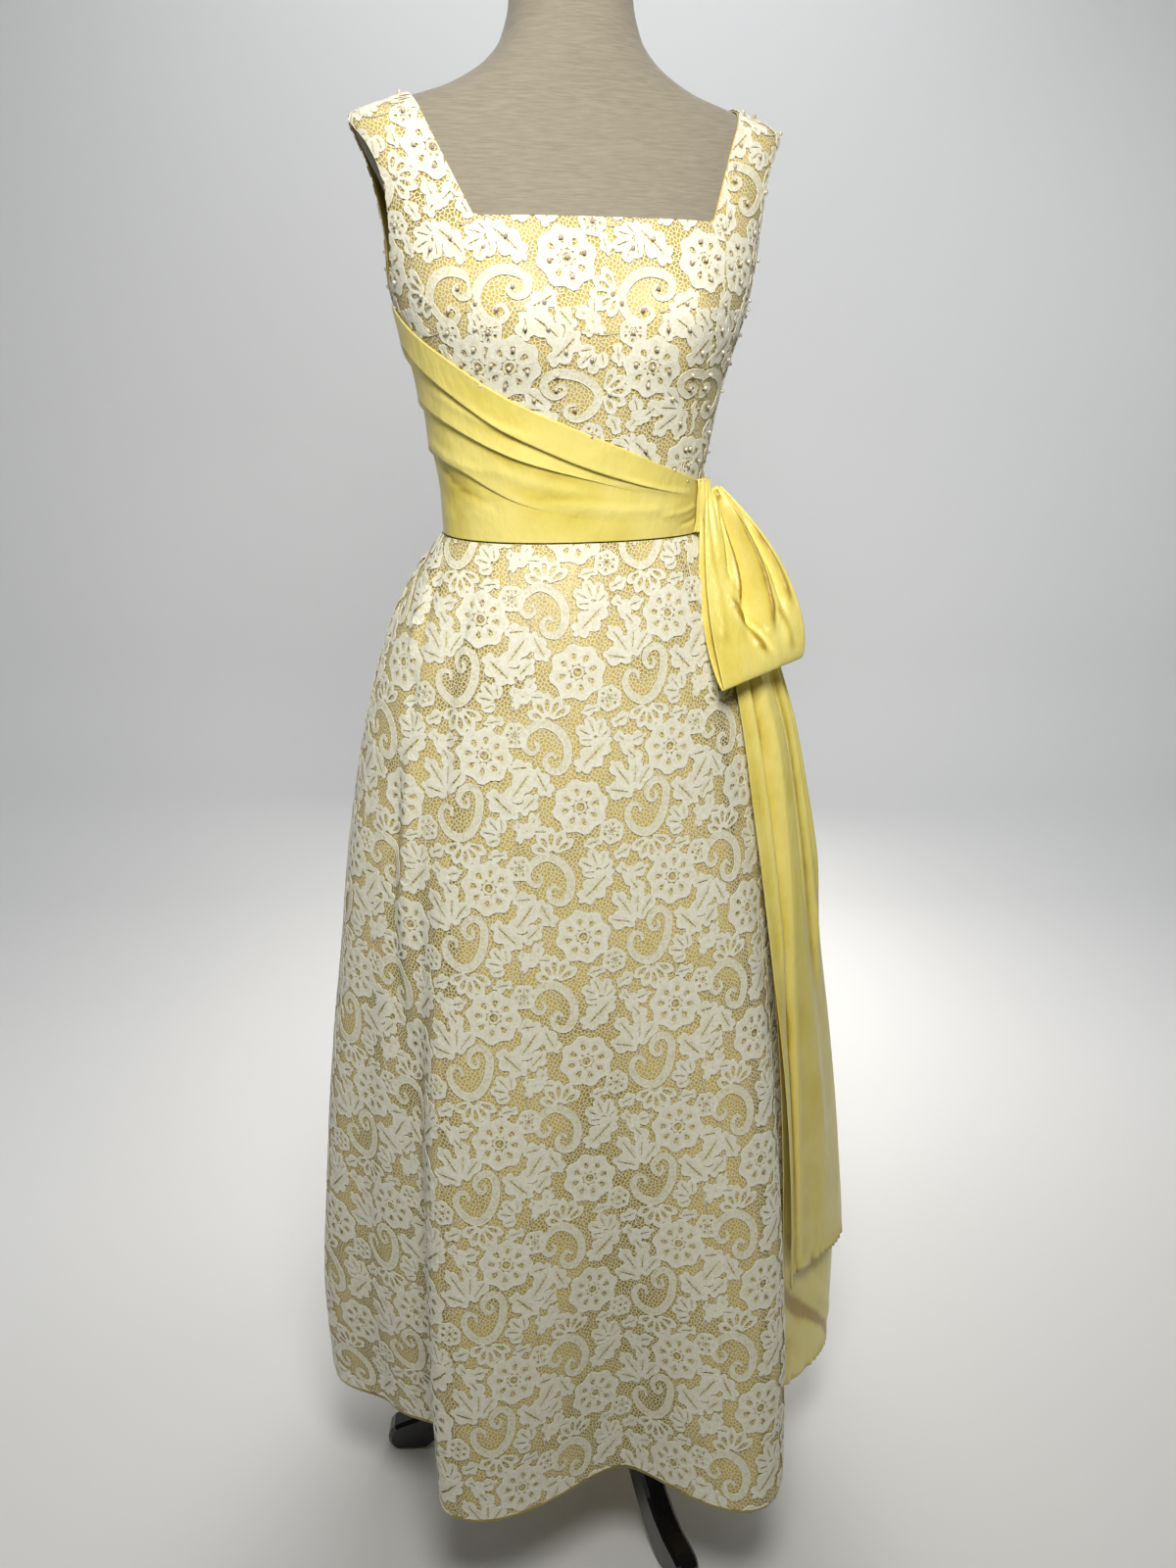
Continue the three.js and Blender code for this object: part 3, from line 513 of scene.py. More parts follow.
class Nodes:
    """A material's node tree, built a node at a time."""

    def __init__(self, name):
        self.material = bpy.data.materials.new(name)
        self.material.use_nodes = True
        self.tree = self.material.node_tree
        self.tree.nodes.clear()
        self.output = self.add("ShaderNodeOutputMaterial")

    def add(self, kind, **settings):
        node = self.tree.nodes.new(kind)
        for key, value in settings.items():
            setattr(node, key, value)
        return node

    def link(self, source, target):
        self.tree.links.new(source, target)

    def principled(self, **values):
        shader = self.add("ShaderNodeBsdfPrincipled")
        for key, value in values.items():
            shader.inputs[key.replace("_", " ")].default_value = value
        self.link(shader.outputs[0], self.output.inputs["Surface"])
        return shader

    def coordinates(self, kind, scale=(1, 1, 1), turn=0.0):
        place = self.add("ShaderNodeTexCoord")
        mapping = self.add("ShaderNodeMapping")
        mapping.inputs["Scale"].default_value = scale
        mapping.inputs["Rotation"].default_value = (0, 0, turn)
        self.link(place.outputs[kind], mapping.inputs["Vector"])
        return mapping.outputs[0]

    def noise(self, where, scale, detail=3.0, rough=0.5):
        node = self.add("ShaderNodeTexNoise")
        node.inputs["Scale"].default_value = scale
        node.inputs["Detail"].default_value = detail
        node.inputs["Roughness"].default_value = rough
        self.link(where, node.inputs["Vector"])
        return node.outputs["Fac"]

    def wave(self, where, direction, scale, distortion=0.0):
        node = self.add("ShaderNodeTexWave", bands_direction=direction)
        node.inputs["Scale"].default_value = scale
        node.inputs["Distortion"].default_value = distortion
        self.link(where, node.inputs["Vector"])
        return node.outputs["Fac"]

    def ramp(self, factor, *stops):
        node = self.add("ShaderNodeValToRGB")
        elements = node.color_ramp.elements
        while len(elements) < len(stops):
            elements.new(0.5)
        for element, (place, colour) in zip(elements, stops):
            element.position = place
            element.color = (*colour, 1)
        self.link(factor, node.inputs["Fac"])
        return node.outputs["Color"]

    def maths(self, operation, first, second):
        node = self.add("ShaderNodeMath", operation=operation)
        for socket, value in zip(node.inputs, (first, second)):
            if isinstance(value, (int, float)):
                socket.default_value = value
            else:
                self.link(value, socket)
        return node.outputs[0]

    def bump(self, height, shader, strength, distance, under=None):
        node = self.add("ShaderNodeBump")
        node.inputs["Strength"].default_value = strength
        node.inputs["Distance"].default_value = distance
        self.link(height, node.inputs["Height"])
        if under is not None:
            self.link(under, node.inputs["Normal"])
        self.link(node.outputs[0], shader.inputs["Normal"])
        return node.outputs[0]


def satin_material(name, light, dark, hollow_shade, roughness, shade):
    """Satin: a tight weave, soft crumples, a broad sheen, and painted shade in its hollows, a deeper yellow.
    """
    nodes = Nodes(name)
    shader = nodes.principled(
        Roughness=roughness, Specular_IOR_Level=0.45, Sheen_Weight=0.06, Sheen_Roughness=0.35
    )
    place = nodes.coordinates("Object")
    # Painted shade: the deeper a point's hollow, the more its colour is pulled down towards the deepest
    # yellow.
    shaded_hollow = nodes.add("ShaderNodeAttribute", attribute_name="tone")
    darker = nodes.maths("MULTIPLY", shaded_hollow.outputs["Fac"], shade)
    mottle = nodes.maths("SUBTRACT", nodes.noise(place, scale=14, detail=5), darker)
    tone = nodes.ramp(mottle, (0.05, hollow_shade), (0.38, dark), (0.62, light))
    nodes.link(tone, shader.inputs["Base Color"])
    crumple = nodes.noise(nodes.coordinates("Object", (1, 1, 0.55)), scale=24, detail=4, rough=0.6)
    soft = nodes.bump(crumple, shader, strength=0.50, distance=0.009)
    weave = nodes.wave(nodes.coordinates("UV"), "Y", scale=1400, distortion=1.5)
    nodes.bump(weave, shader, strength=0.08, distance=0.0002, under=soft)
    return nodes.material


def lace_material():
    """Matt lace, its colour set by each point's height as painted shade: lightest on the raised cords,
    darker on the flat stitching between them and darkest at their foot.
    """
    nodes = Nodes("lace")
    shader = nodes.principled(Roughness=0.8, Specular_IOR_Level=0.25, Sheen_Weight=0.15, Sheen_Roughness=0.5)
    height = nodes.add("ShaderNodeAttribute", attribute_name="tone")
    grain = nodes.noise(nodes.coordinates("Object"), scale=420, detail=2)
    mixed = nodes.maths("ADD", height.outputs["Fac"], nodes.maths("MULTIPLY", grain, 1.2))
    mottle = nodes.noise(nodes.coordinates("Object"), scale=130, detail=2)
    mixed = nodes.maths("ADD", mixed, nodes.maths("MULTIPLY", mottle, 0.35))
    halved = nodes.maths("MULTIPLY", mixed, 0.5)
    nodes.link(nodes.ramp(halved, *LACE_TONES_AND_FOOT_SHADE), shader.inputs["Base Color"])
    stitches = nodes.wave(nodes.coordinates("Object", turn=0.6), "DIAGONAL", scale=520, distortion=3.0)
    nodes.bump(stitches, shader, strength=0.35, distance=0.0004)
    return nodes.material


def net_material():
    """Fine net ground: threads round small six-sided holes, clear between them."""
    nodes = Nodes("net")
    shader = nodes.principled(
        Base_Color=(0.90, 0.84, 0.60, 1), Roughness=0.8, Specular_IOR_Level=0.2, Sheen_Weight=0.1
    )
    cells = nodes.add("ShaderNodeTexVoronoi", feature="DISTANCE_TO_EDGE", voronoi_dimensions="2D")
    cells.inputs["Scale"].default_value = 1 / NET_CELL
    cells.inputs["Randomness"].default_value = 0.8
    nodes.link(nodes.coordinates("UV", (1, 0.9, 1), 0.5), cells.inputs["Vector"])
    thread = nodes.maths("LESS_THAN", cells.outputs["Distance"], NET_THREAD)
    nodes.link(thread, shader.inputs["Alpha"])
    return nodes.material


def linen_material():
    """Plain linen: crossed threads with slubs, stretched smooth over the form."""
    nodes = Nodes("linen")
    shader = nodes.principled(Roughness=0.85, Specular_IOR_Level=0.25, Sheen_Weight=0.2)
    place = nodes.coordinates("Object")
    slubs = nodes.noise(nodes.coordinates("Object", (30, 30, 420)), scale=2.0, detail=3, rough=0.6)
    tone = nodes.ramp(slubs, (0.3, (0.27, 0.24, 0.18)), (0.7, (0.36, 0.325, 0.255)))
    nodes.link(tone, shader.inputs["Base Color"])
    weft = nodes.wave(place, "Z", scale=560, distortion=2.0)
    warp = nodes.wave(place, "X", scale=560, distortion=2.0)
    nodes.bump(nodes.maths("ADD", weft, warp), shader, strength=0.35, distance=0.0004)
    return nodes.material


def enamel_material():
    """Gloss black enamel with faint dust and wear in its roughness."""
    nodes = Nodes("black_enamel")
    shader = nodes.principled(Base_Color=(0.006, 0.006, 0.007, 1), Roughness=0.18, Coat_Weight=0.4)
    wear = nodes.noise(nodes.coordinates("Object"), scale=40, detail=4)
    nodes.link(nodes.ramp(wear, (0.35, (0.12,) * 3), (0.8, (0.34,) * 3)), shader.inputs["Roughness"])
    dust = nodes.noise(nodes.coordinates("Object"), scale=220, detail=2)
    nodes.bump(dust, shader, strength=0.05, distance=0.0005)
    return nodes.material


def pearl_material():
    """Pearl: a soft gloss over warm patches."""
    nodes = Nodes("pearl")
    shader = nodes.principled(Roughness=0.2, Metallic=0.2, Coat_Weight=0.6)
    tone = nodes.noise(nodes.coordinates("Object"), scale=90, detail=1)
    shade = nodes.ramp(tone, (0.4, (0.58, 0.48, 0.36)), (0.6, (0.82, 0.76, 0.64)))
    nodes.link(shade, shader.inputs["Base Color"])
    return nodes.material


def plain_material(name, colour, roughness):
    """The studio's paper sweep, with a trace of unevenness."""
    nodes = Nodes(name)
    shader = nodes.principled(Roughness=roughness)
    tone = nodes.noise(nodes.coordinates("Object"), scale=0.8, detail=2)
    darker = tuple(value * 0.97 for value in colour)
    nodes.link(nodes.ramp(tone, (0.3, darker), (0.7, colour)), shader.inputs["Base Color"])
    return nodes.material


# Lace colours from each motif's foot up to its cord: painted shade, the darkest stop at the foot.
LACE_TONES_AND_FOOT_SHADE = (
    (0.42, (0.24, 0.17, 0.04)),
    (0.58, (0.70, 0.63, 0.36)),
    (0.76, (0.89, 0.86, 0.68)),
    (0.93, (0.97, 0.96, 0.84)),
)
NET_CELL = 0.0034
NET_THREAD = 0.12
# Satin colours, the deepest being painted shade for hollows, then roughness and the strength of that painted
# shade.
SATIN = satin_material("satin", (0.95, 0.83, 0.25), (0.86, 0.72, 0.15), (0.48, 0.33, 0.03), 0.34, 0.70)
# The lining's satin is darker than the sash's: painted shade from the lace and net that lie over it.
SHADED_LINING_SATIN = satin_material(
    "lining_satin_shaded", (0.68, 0.55, 0.12), (0.42, 0.33, 0.045), (0.30, 0.22, 0.03), 0.36, 0.12
)
LACE = lace_material()
NET = net_material()
LINEN = linen_material()
ENAMEL = enamel_material()
PEARL = pearl_material()


# ---- Dress form and stand ----


# Rings of the form from and to a height, and how many: closest over the shoulders.
FORM_RINGS = ((0.930, 1.500, 60), (1.503, 1.600, 40), (1.605, 1.664, 10))
FORM_COLUMNS = 144
LID_SHARE, LID_RISE, LID_DOME = (0.96, 0.94, 1), 0.0035, 0.0005
BASE_SHARE = (0.97, 0.97, 1)


def build_form():
    """The whole torso again, as fine rings, closed at its base and neck."""
    z = np.concatenate([np.linspace(*rings) for rings in FORM_RINGS])
    angle = np.linspace(0, 360, FORM_COLUMNS, endpoint=False)
    points = form_point(angle[None, :], z[:, None])
    lid = points[-1] * LID_SHARE + (0, 0, LID_RISE)
    base = points[0] * BASE_SHARE
    rings = np.concatenate([base[None], points, lid[None]])
    flat = rings.reshape(-1, 3)
    middle_top = lid.mean(0) + (0, 0, LID_DOME)
    flat = np.concatenate([flat, base.mean(0)[None], middle_top[None]])
    form = add_mesh("form_linen", flat, grid_faces(len(rings), len(angle), closed=True), LINEN)
    close_ends(form, len(rings), len(angle))
    dress(form, "linen", "form_torso")


def close_ends(thing, rows, columns):
    """Fans that close the first and last ring onto the two points after the rings."""
    mesh = bmesh.new()
    mesh.from_mesh(thing.data)
    mesh.verts.ensure_lookup_table()
    bottom, top = mesh.verts[rows * columns], mesh.verts[rows * columns + 1]
    last = (rows - 1) * columns
    for c in range(columns):
        d = (c + 1) % columns
        mesh.faces.new((bottom, mesh.verts[d], mesh.verts[c]))
        mesh.faces.new((top, mesh.verts[last + c], mesh.verts[last + d]))
    mesh.to_mesh(thing.data)
    mesh.free()


def build_stand():
    """The stand's own solids, enamelled."""
    for name in ("stand_pole", "stand_hub", "stand_leg_1", "stand_leg_2", "stand_leg_3"):
        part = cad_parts[name]
        part.data.materials.clear()
        part.data.materials.append(ENAMEL)


# ---- Lace motifs: charted flat, in centimetres, x to the wearer's left and y up ----

CORD, CORD_RISE, FILL_RISE = 0.050, 0.085, 0.062
# Holes and veins, as shares of their blade's length and width, and where each begins.
HOLE_LONG, HOLE_WIDE, HOLE_START = 0.52, 0.46, 0.24
VEIN_LONG, VEIN_WIDE, VEIN_START = 0.62, 0.10, 0.20
# Petals: round a middle of this share of the flower, starting just inside its edge.
FLOWER_MIDDLE, MIDDLE_HOLE, PETAL_START, PETAL_FULL = 0.27, 0.38, 0.85, 0.74
PETAL_BELLY, PETAL_HOLE, PETAL_LOBES, PETAL_JAG = -0.46, 0.62, 5, 0.15
LARGE_FLOWER = 2.0
FAN_BELLY, FAN_HOLE, FAN_LOBES, FAN_JAG, FAN_WIDER = -0.35, 0.9, 5, 0.10, 1.15
LEAF_JAG, LEAF_WIDER = 1.3, 1.08
BAND_SHARES = (-1, -0.9, -0.62, 0.62, 0.9, 1)
BAND_HEIGHTS = (0, CORD_RISE, FILL_RISE, FILL_RISE, CORD_RISE, 0)
BAND_WIDER, STEM_WIDE = 1.05, 0.13


class Chart:
    """Points, heights and triangles of raised motifs laid out flat."""

    def __init__(self):
        self.points, self.heights, self.faces = [], [], []
        self.count = 0

    def strips(self, rings, heights, closed):
        """Joins rows of as many points each, at one height a row."""
        rows, columns = len(rings), len(rings[0])
        self.points.append(np.concatenate(rings))
        self.heights.append(np.repeat(heights, columns))
        self.faces.append(grid_faces(rows, columns, closed) + self.count)
        self.count += rows * columns

    def done(self):
        return np.concatenate(self.points), np.concatenate(self.heights), np.concatenate(self.faces)


def turned(points, angle):
    c, s = math.cos(math.radians(angle)), math.sin(math.radians(angle))
    return np.asarray(points) @ np.array(((c, s), (-s, c)))


def inset(ring, distance):
    """The closed ring moved inwards; it runs anticlockwise."""
    along = np.roll(ring, -1, 0) - np.roll(ring, 1, 0)
    along /= np.linalg.norm(along, axis=1, keepdims=True) + 1e-9
    return ring + np.stack([-along[:, 1], along[:, 0]], 1) * distance


def blade(count, length, width, belly, lobes=0, jag=0.0):
    """Outline of a petal or leaf from its root at 0 to its tip at (length, 0), anticlockwise."""
    turn = np.linspace(0, 2 * np.pi, count, endpoint=False)
    along = 0.5 - 0.5 * np.cos(turn)
    swell = np.sin(turn) * (1 + belly * np.cos(turn))
    tooth = np.abs(np.sin(lobes * turn / 2)) if lobes else 0.5
    edge = 1 + jag * (tooth - 0.5) * 2
    x = length * (0.5 + (along - 0.5) * (1 + 0.5 * jag * (tooth - 0.5)))
    return np.stack([x, -0.5 * width * swell * edge], 1)


def add_blade(chart, place, angle, length, width, belly, hole, lobes, jag, count, bend=0.0):
    """Petal or leaf with a corded edge round a hole or a narrow vein."""
    outline = blade(count, length, width, belly, lobes, jag)
    if hole:
        inner = blade(count, length * HOLE_LONG * hole, width * HOLE_WIDE * hole, belly)
        inner += (length * HOLE_START, 0)
    else:
        inner = blade(count, length * VEIN_LONG, width * VEIN_WIDE, 0) + (length * VEIN_START, 0)
    rings = (inset(outline, -CORD / 2), inset(outline, CORD / 2), inner)
    rings = [turned(curl(ring, bend, length), angle) + place for ring in rings]
    chart.strips(rings, (0, CORD_RISE, FILL_RISE), True)


def curl(ring, bend, length):
    """Bends a leaf to one side, more towards its tip."""
    x, y = ring[:, 0], ring[:, 1]
    return np.stack([x, y + bend * (x / length) ** 2], 1)


def add_ring(chart, place, outer, inner, count=16):
    turn = np.linspace(0, 2 * np.pi, count, endpoint=False)
    circle = np.stack([np.cos(turn), np.sin(turn)], 1)
    rings = [circle * r + place for r in (outer, lerp(outer, inner, 0.45), inner)]
    chart.strips(rings, (0, CORD_RISE, 0), True)


def add_flower(chart, place, radius, petals, first, count):
    """Round flower of holed petals about a ring."""
    place = np.array(place)
    middle = radius * FLOWER_MIDDLE
    start = middle * PETAL_START
    width = 2 * np.pi * radius * PETAL_FULL / petals
    for k in range(petals):
        angle = first + 360 * k / petals
        root = place + turned([(start, 0)], angle)[0]
        shape = (radius - start, width, PETAL_BELLY, PETAL_HOLE, PETAL_LOBES, PETAL_JAG)
        add_blade(chart, root, angle, *shape, count)
    add_ring(chart, place, middle, middle * MIDDLE_HOLE)


def smooth_path(points, count):
    """Even points along a rounded path through the given ones."""
    points = np.array(points, float)
    knots = np.arange(len(points))
    fine = np.linspace(0, len(points) - 1, count * 4)
    i = np.clip(fine.astype(int), 0, len(points) - 2)
    t = (fine - i)[:, None]
    before = points[np.maximum(i - 1, 0)]
    after = points[np.minimum(i + 2, knots[-1])]
    a, b = points[i], points[i + 1]
    path = 0.5 * (2 * a + (b - before) * t + (2 * before - 5 * a + 4 * b - after) * t**2)
    path += 0.5 * (3 * a - before - 3 * b + after) * t**3
    length = np.concatenate([[0], np.linalg.norm(np.diff(path, axis=0), axis=1).cumsum()])
    even = np.linspace(0, length[-1], count)
    return np.stack([np.interp(even, length, path[:, k]) for k in (0, 1)], 1)


def path_and_side(path, count):
    """Even points along a path, and the direction to its left at each."""
    line = smooth_path(path, count)
    along = np.gradient(line, axis=0)
    along /= np.linalg.norm(along, axis=1, keepdims=True)
    return line, np.stack([-along[:, 1], along[:, 0]], 1)


def add_band(chart, path, widths, count=44):
    """Scroll: a band with a cord along each edge, as wide at each place as widths say."""
    line, side = path_and_side(path, count)
    width = np.interp(np.linspace(0, 1, count), np.linspace(0, 1, len(widths)), widths)
    half = width[:, None] / 2 * BAND_WIDER
    chart.strips([line + side * half * share for share in BAND_SHARES], BAND_HEIGHTS, False)


def add_stem(chart, path, count=12):
    line, side = path_and_side(path, count)
    chart.strips([line + side * STEM_WIDE * share for share in (-0.5, 0, 0.5)], (0, CORD_RISE, 0), False)


# One repeat of the lace. Places are from the middle of its first flower.
REPEAT_WIDE, REPEAT_TALL = 17.9, 12.65
FLOWERS = [  # x, y, radius, petals, first petal's angle
    (0.0, 0.0, 2.70, 8, 12),
    (9.05, 4.95, 2.70, 8, -8),
    (2.95, -2.55, 1.28, 6, 20),
    (12.0, -5.75, 1.30, 6, 0),
]
FANS = [  # x, y, angle, length, width
    # fan above the first scroll
    (-3.0, 8.35, 158, 1.85, 0.85),
    (-2.95, 8.5, 122, 2.15, 0.85),
    (-2.85, 8.55, 90, 2.35, 0.85),
    (-2.7, 8.5, 60, 2.3, 0.85),
    (-2.55, 8.4, 33, 2.2, 0.80),
    # fan under the second scroll
    (6.5, -3.5, 214, 1.9, 0.85),
    (6.65, -3.65, 246, 2.1, 0.85),
    (6.8, -3.7, 276, 2.25, 0.85),
    (6.95, -3.6, 305, 2.2, 0.85),
    (7.05, -3.45, 335, 2.1, 0.80),
]
LEAVES = [  # x, y, angle, length, width, belly, lobes, jag, bend
    # leaves under the first scroll
    (-4.3, 3.85, 178, 2.3, 1.35, -0.2, 5, 0.22, 0.2),
    (-4.4, 3.8, 238, 4.0, 1.7, -0.1, 7, 0.18, -0.3),
    (-4.2, 3.8, 292, 3.0, 1.5, -0.1, 7, 0.20, 0.3),
    # sprig beside the flower
    (-6.0, -3.2, 48, 3.4, 1.1, -0.1, 7, 0.3, 0.3),
    (-5.1, -2.1, -8, 2.3, 0.85, 0.0, 5, 0.3, 0.2),
    (-5.6, -2.7, 104, 1.6, 0.8, 0.0, 5, 0.3, 0),
    # leaves on the small flower's stem
    (2.1, -3.3, 188, 1.9, 0.85, 0.0, 5, 0.25, 0.2),
    (1.5, -6.3, 188, 1.5, 1.05, -0.35, 3, 0.10, -0.2),
    (1.4, -6.1, 150, 1.9, 1.15, -0.35, 3, 0.10, 0),
    (1.6, -6.0, 112, 2.0, 1.15, -0.35, 3, 0.10, 0),
    (1.8, -6.1, 74, 1.8, 1.05, -0.35, 3, 0.10, 0),
    (1.9, -6.3, 34, 1.4, 0.95, -0.35, 3, 0.10, 0.2),
    (2.9, -6.1, 230, 4.4, 1.9, -0.15, 9, 0.2, -0.4),
    (3.1, -5.0, 18, 1.9, 1.1, -0.1, 5, 0.2, 0.3),
    (3.5, -5.9, -40, 2.2, 1.15, 0.0, 5, 0.3, 0),
    (4.3, -6.9, 12, 2.3, 1.05, 0.0, 5, 0.3, 0.2),
    (4.4, -7.1, -52, 2.6, 1.25, 0.0, 5, 0.3, 0),
    # leaves that stand up over the second scroll
    (5.2, 1.0, 172, 2.8, 1.4, -0.15, 5, 0.22, -0.2),
    (5.1, 1.2, 122, 3.6, 1.35, -0.1, 7, 0.2, 0.2),
    (5.3, 1.3, 88, 3.0, 1.05, -0.1, 5, 0.2, -0.1),
    (5.4, 1.2, 58, 3.0, 1.15, -0.1, 5, 0.2, -0.2),
    # leaves of the second small flower's stem
    (9.4, 1.7, -52, 3.6, 1.9, -0.1, 7, 0.2, 0.4),
    (10.3, -2.9, 206, 1.4, 1.00, -0.35, 3, 0.10, -0.2),
    (10.2, -2.6, 168, 1.8, 1.10, -0.35, 3, 0.10, 0),
    (10.3, -2.4, 130, 1.9, 1.10, -0.35, 3, 0.10, 0),
    (10.5, -2.4, 92, 1.6, 1.00, -0.35, 3, 0.10, 0.1),
    (11.0, -4.4, 186, 1.9, 0.95, 0.0, 5, 0.3, 0.1),
    (11.9, -2.3, 8, 2.0, 1.1, -0.1, 5, 0.22, 0.3),
    (12.2, -0.4, 40, 2.4, 1.3, 0.0, 5, 0.25, 0.2),
]
BANDS = [  # path, widths
    (
        [(-4.15, 6.4), (-3.8, 5.75), (-4.5, 5.2), (-5.15, 6.1), (-4.85, 7.15), (-3.4, 8.0), (-1.9, 7.3),
         (-1.1, 5.9), (-1.2, 4.4), (-1.86, 3.5), (-2.9, 3.7), (-3.2, 4.6), (-2.6, 5.2), (-2.1, 4.7)],
        (0.28, 0.5, 0.7, 0.85, 0.85, 0.85, 0.85, 0.75, 0.55, 0.28),
    ),
    (
        [(7.3, 1.0), (7.5, 0.35), (6.95, 0.0), (6.45, 0.87), (7.0, 1.75), (7.8, 1.95), (8.45, 1.2),
         (8.45, 0.0), (8.1, -1.4), (7.3, -2.6), (6.3, -3.0), (5.1, -2.4), (4.5, -1.2), (4.9, -0.17),
         (5.7, -0.26), (5.8, -1.0)],
        (0.28, 0.5, 0.7, 0.8, 0.85, 0.85, 0.85, 0.75, 0.55, 0.28),
    ),
]
STEMS = [
    [(2.75, -3.5), (2.6, -4.3), (2.8, -5.2), (2.4, -6.6), (1.6, -7.2)],
    [(2.8, -5.2), (3.3, -6.4), (4.6, -7.4)],
    [(11.6, 0.6), (12.1, -1.0), (11.7, -3.0), (12.0, -4.8)],
    [(-4.3, 4.6), (-4.3, 3.6), (-4.8, 2.6)],
    [(-6.2, -3.4), (-5.2, -2.2), (-4.4, -1.1)],
    [(5.3, 0.1), (5.2, 0.9), (5.3, 1.8)],
]


def chart_flowers():
    """Flowers and fans of a repeat."""
    chart = Chart()
    for x, y, radius, petals, first in FLOWERS:
        corners = 3 if radius > LARGE_FLOWER else 2
        add_flower(chart, (x, y), radius, petals, first, corners * PETAL_LOBES)
    for x, y, angle, length, width in FANS:
        shape = (length, width * FAN_WIDER, FAN_BELLY, FAN_HOLE, FAN_LOBES, FAN_JAG)
        add_blade(chart, (x, y), angle, *shape, 3 * FAN_LOBES)
    return chart.done()


def chart_leaves():
    """Leaves, scrolls and stems of a repeat."""
    chart = Chart()
    for x, y, angle, length, width, belly, lobes, jag, bend in LEAVES:
        shape = (length, width * LEAF_WIDER, belly, 0, lobes, jag * LEAF_JAG)
        add_blade(chart, (x, y), angle, *shape, 4 * lobes, bend)
    for path, widths in BANDS:
        add_band(chart, path, widths)
    for path in STEMS:
        add_stem(chart, path)
    return chart.done()


CHARTS = {"flowers": chart_flowers(), "leaves": chart_leaves()}
CM = 0.01


def spread_repeats(chart, wide, tall, first, turn=0.0):
    """Repeats in metres over a stretch of flat lace; the place called first is a flower's middle."""
    points, heights, faces = chart
    corners = np.array([(x - first[0], y - first[1]) for x in wide for y in tall]) / CM
    corners = turned(corners, -turn) / (REPEAT_WIDE, REPEAT_TALL)
    low = np.floor(corners.min(0)).astype(int) - 1
    high = np.ceil(corners.max(0)).astype(int) + 1
    steps = [(column, row) for column in range(low[0], high[0] + 1) for row in range(low[1], high[1] + 1)]
    shifts = np.array(steps) * (REPEAT_WIDE, REPEAT_TALL)
    spread = turned((points[None] + shifts[:, None]).reshape(-1, 2), turn) * CM + np.array(first)
    order = faces[None] + (np.arange(len(steps)) * len(points))[:, None, None]
    return spread, np.tile(heights * CM, len(steps)), order.reshape(-1, faces.shape[1])


def kept_faces(faces, outside):
    """Faces with a corner inside, and the points they use, numbered afresh."""
    faces = faces[~outside[faces].all(1)]
    used, faces = np.unique(faces, return_inverse=True)
    return used, faces.reshape(-1, 4)


def add_motifs(name, points, faces, heights):
    """Raised lace with each point's height kept as its tone, from edge to cord, which the lace turns into
    painted shade.
    """
    motifs = add_mesh(name, points, faces, LACE, rounded=False)
    add_tone(motifs, heights / (CORD_RISE * CM))
    return motifs


# ---- Bodice ----

ACROSS_STEP = 0.004
STRAP_MERIDIAN = 62.0
BODICE_TOP, LACE_TOP = 1.558, 1.556
# About how wide a degree of the bodice is.
DEGREE_WIDE = 0.0026
# Trimming: its rounds, the small steps that show a slope, and the most that a round may move.
TRIM_ROUNDS, TRY_ANGLE, TRY_HEIGHT = 6, 0.05, 0.0002
MOST_STEP, MOST_ANGLE, MOST_HEIGHT = 0.02, 4, 0.01


def meridian_heights(step):
    """Heights of rows that lie evenly along the cloth from the waist over the strap."""
    z = np.linspace(WAIST + 0.0002, BODICE_TOP, 600)
    line = body_point(STRAP_MERIDIAN, z)
    length = np.concatenate([[0], np.linalg.norm(np.diff(line, axis=0), axis=1).cumsum()])
    return np.interp(np.arange(0, length[-1], step), length, z)


def hole_depth(points):
    """How far inside the neck hole or an armhole each point is; negative on the cloth."""
    x, y, z = np.abs(points[..., 0]), points[..., 1], points[..., 2]
    height = np.where(y < 0, NECKLINE_FRONT, NECKLINE_BACK)
    edge = lerp(NECKLINE_HALF, STRAP_INNER, (z - height) / (STRAP_TOP - height))
    neck = np.minimum(z - height, (edge - x) * 0.9)
    round_arm = np.hypot((y - ARMHOLE_Y) / ARMHOLE_DEPTH, (z - ARMHOLE_Z) / ARMHOLE_HEIGHT)
    arm = np.where(x > 0.1, (1 - round_arm) * ARMHOLE_DEPTH, -1)
    return np.maximum(neck, arm)


def trim_to_holes(angle, z, inset=0.0):
    """Moves each place that lies in a hole onto its edge. Returns the places and which moved."""
    angle, z = angle.copy(), z.copy()
    depth = hole_depth(body_point(angle, z)) + inset
    moved = depth > 0
    for _ in range(TRIM_ROUNDS):
        a, h = angle[moved], z[moved]
        depth = hole_depth(body_point(a, h)) + inset
        by_angle = (hole_depth(body_point(a + TRY_ANGLE, h)) + inset - depth) / TRY_ANGLE
        by_height = (hole_depth(body_point(a, h + TRY_HEIGHT)) + inset - depth) / TRY_HEIGHT
        slope = (by_angle / DEGREE_WIDE) ** 2 + by_height**2 + 1e-9
        step = np.clip(depth / slope, -MOST_STEP, MOST_STEP)
        angle[moved] = a - np.clip(step * by_angle / DEGREE_WIDE**2, -MOST_ANGLE, MOST_ANGLE)
        z[moved] = h - np.clip(step * by_height, -MOST_HEIGHT, MOST_HEIGHT)
    return angle, z, moved


def bodice_sheet(name, start, end, distance, material, thick):
    """Cloth between two angles round the body, cut out at the neck and the armholes."""
    columns = int((end - start) * DEGREE_WIDE / ACROSS_STEP)
    angle, z = np.meshgrid(np.linspace(start, end, columns), meridian_heights(ACROSS_STEP))
    angle, z, moved = trim_to_holes(angle, z)
    return add_grid(name, body_out(angle, z, distance), material, keep=~moved, thick=thick)


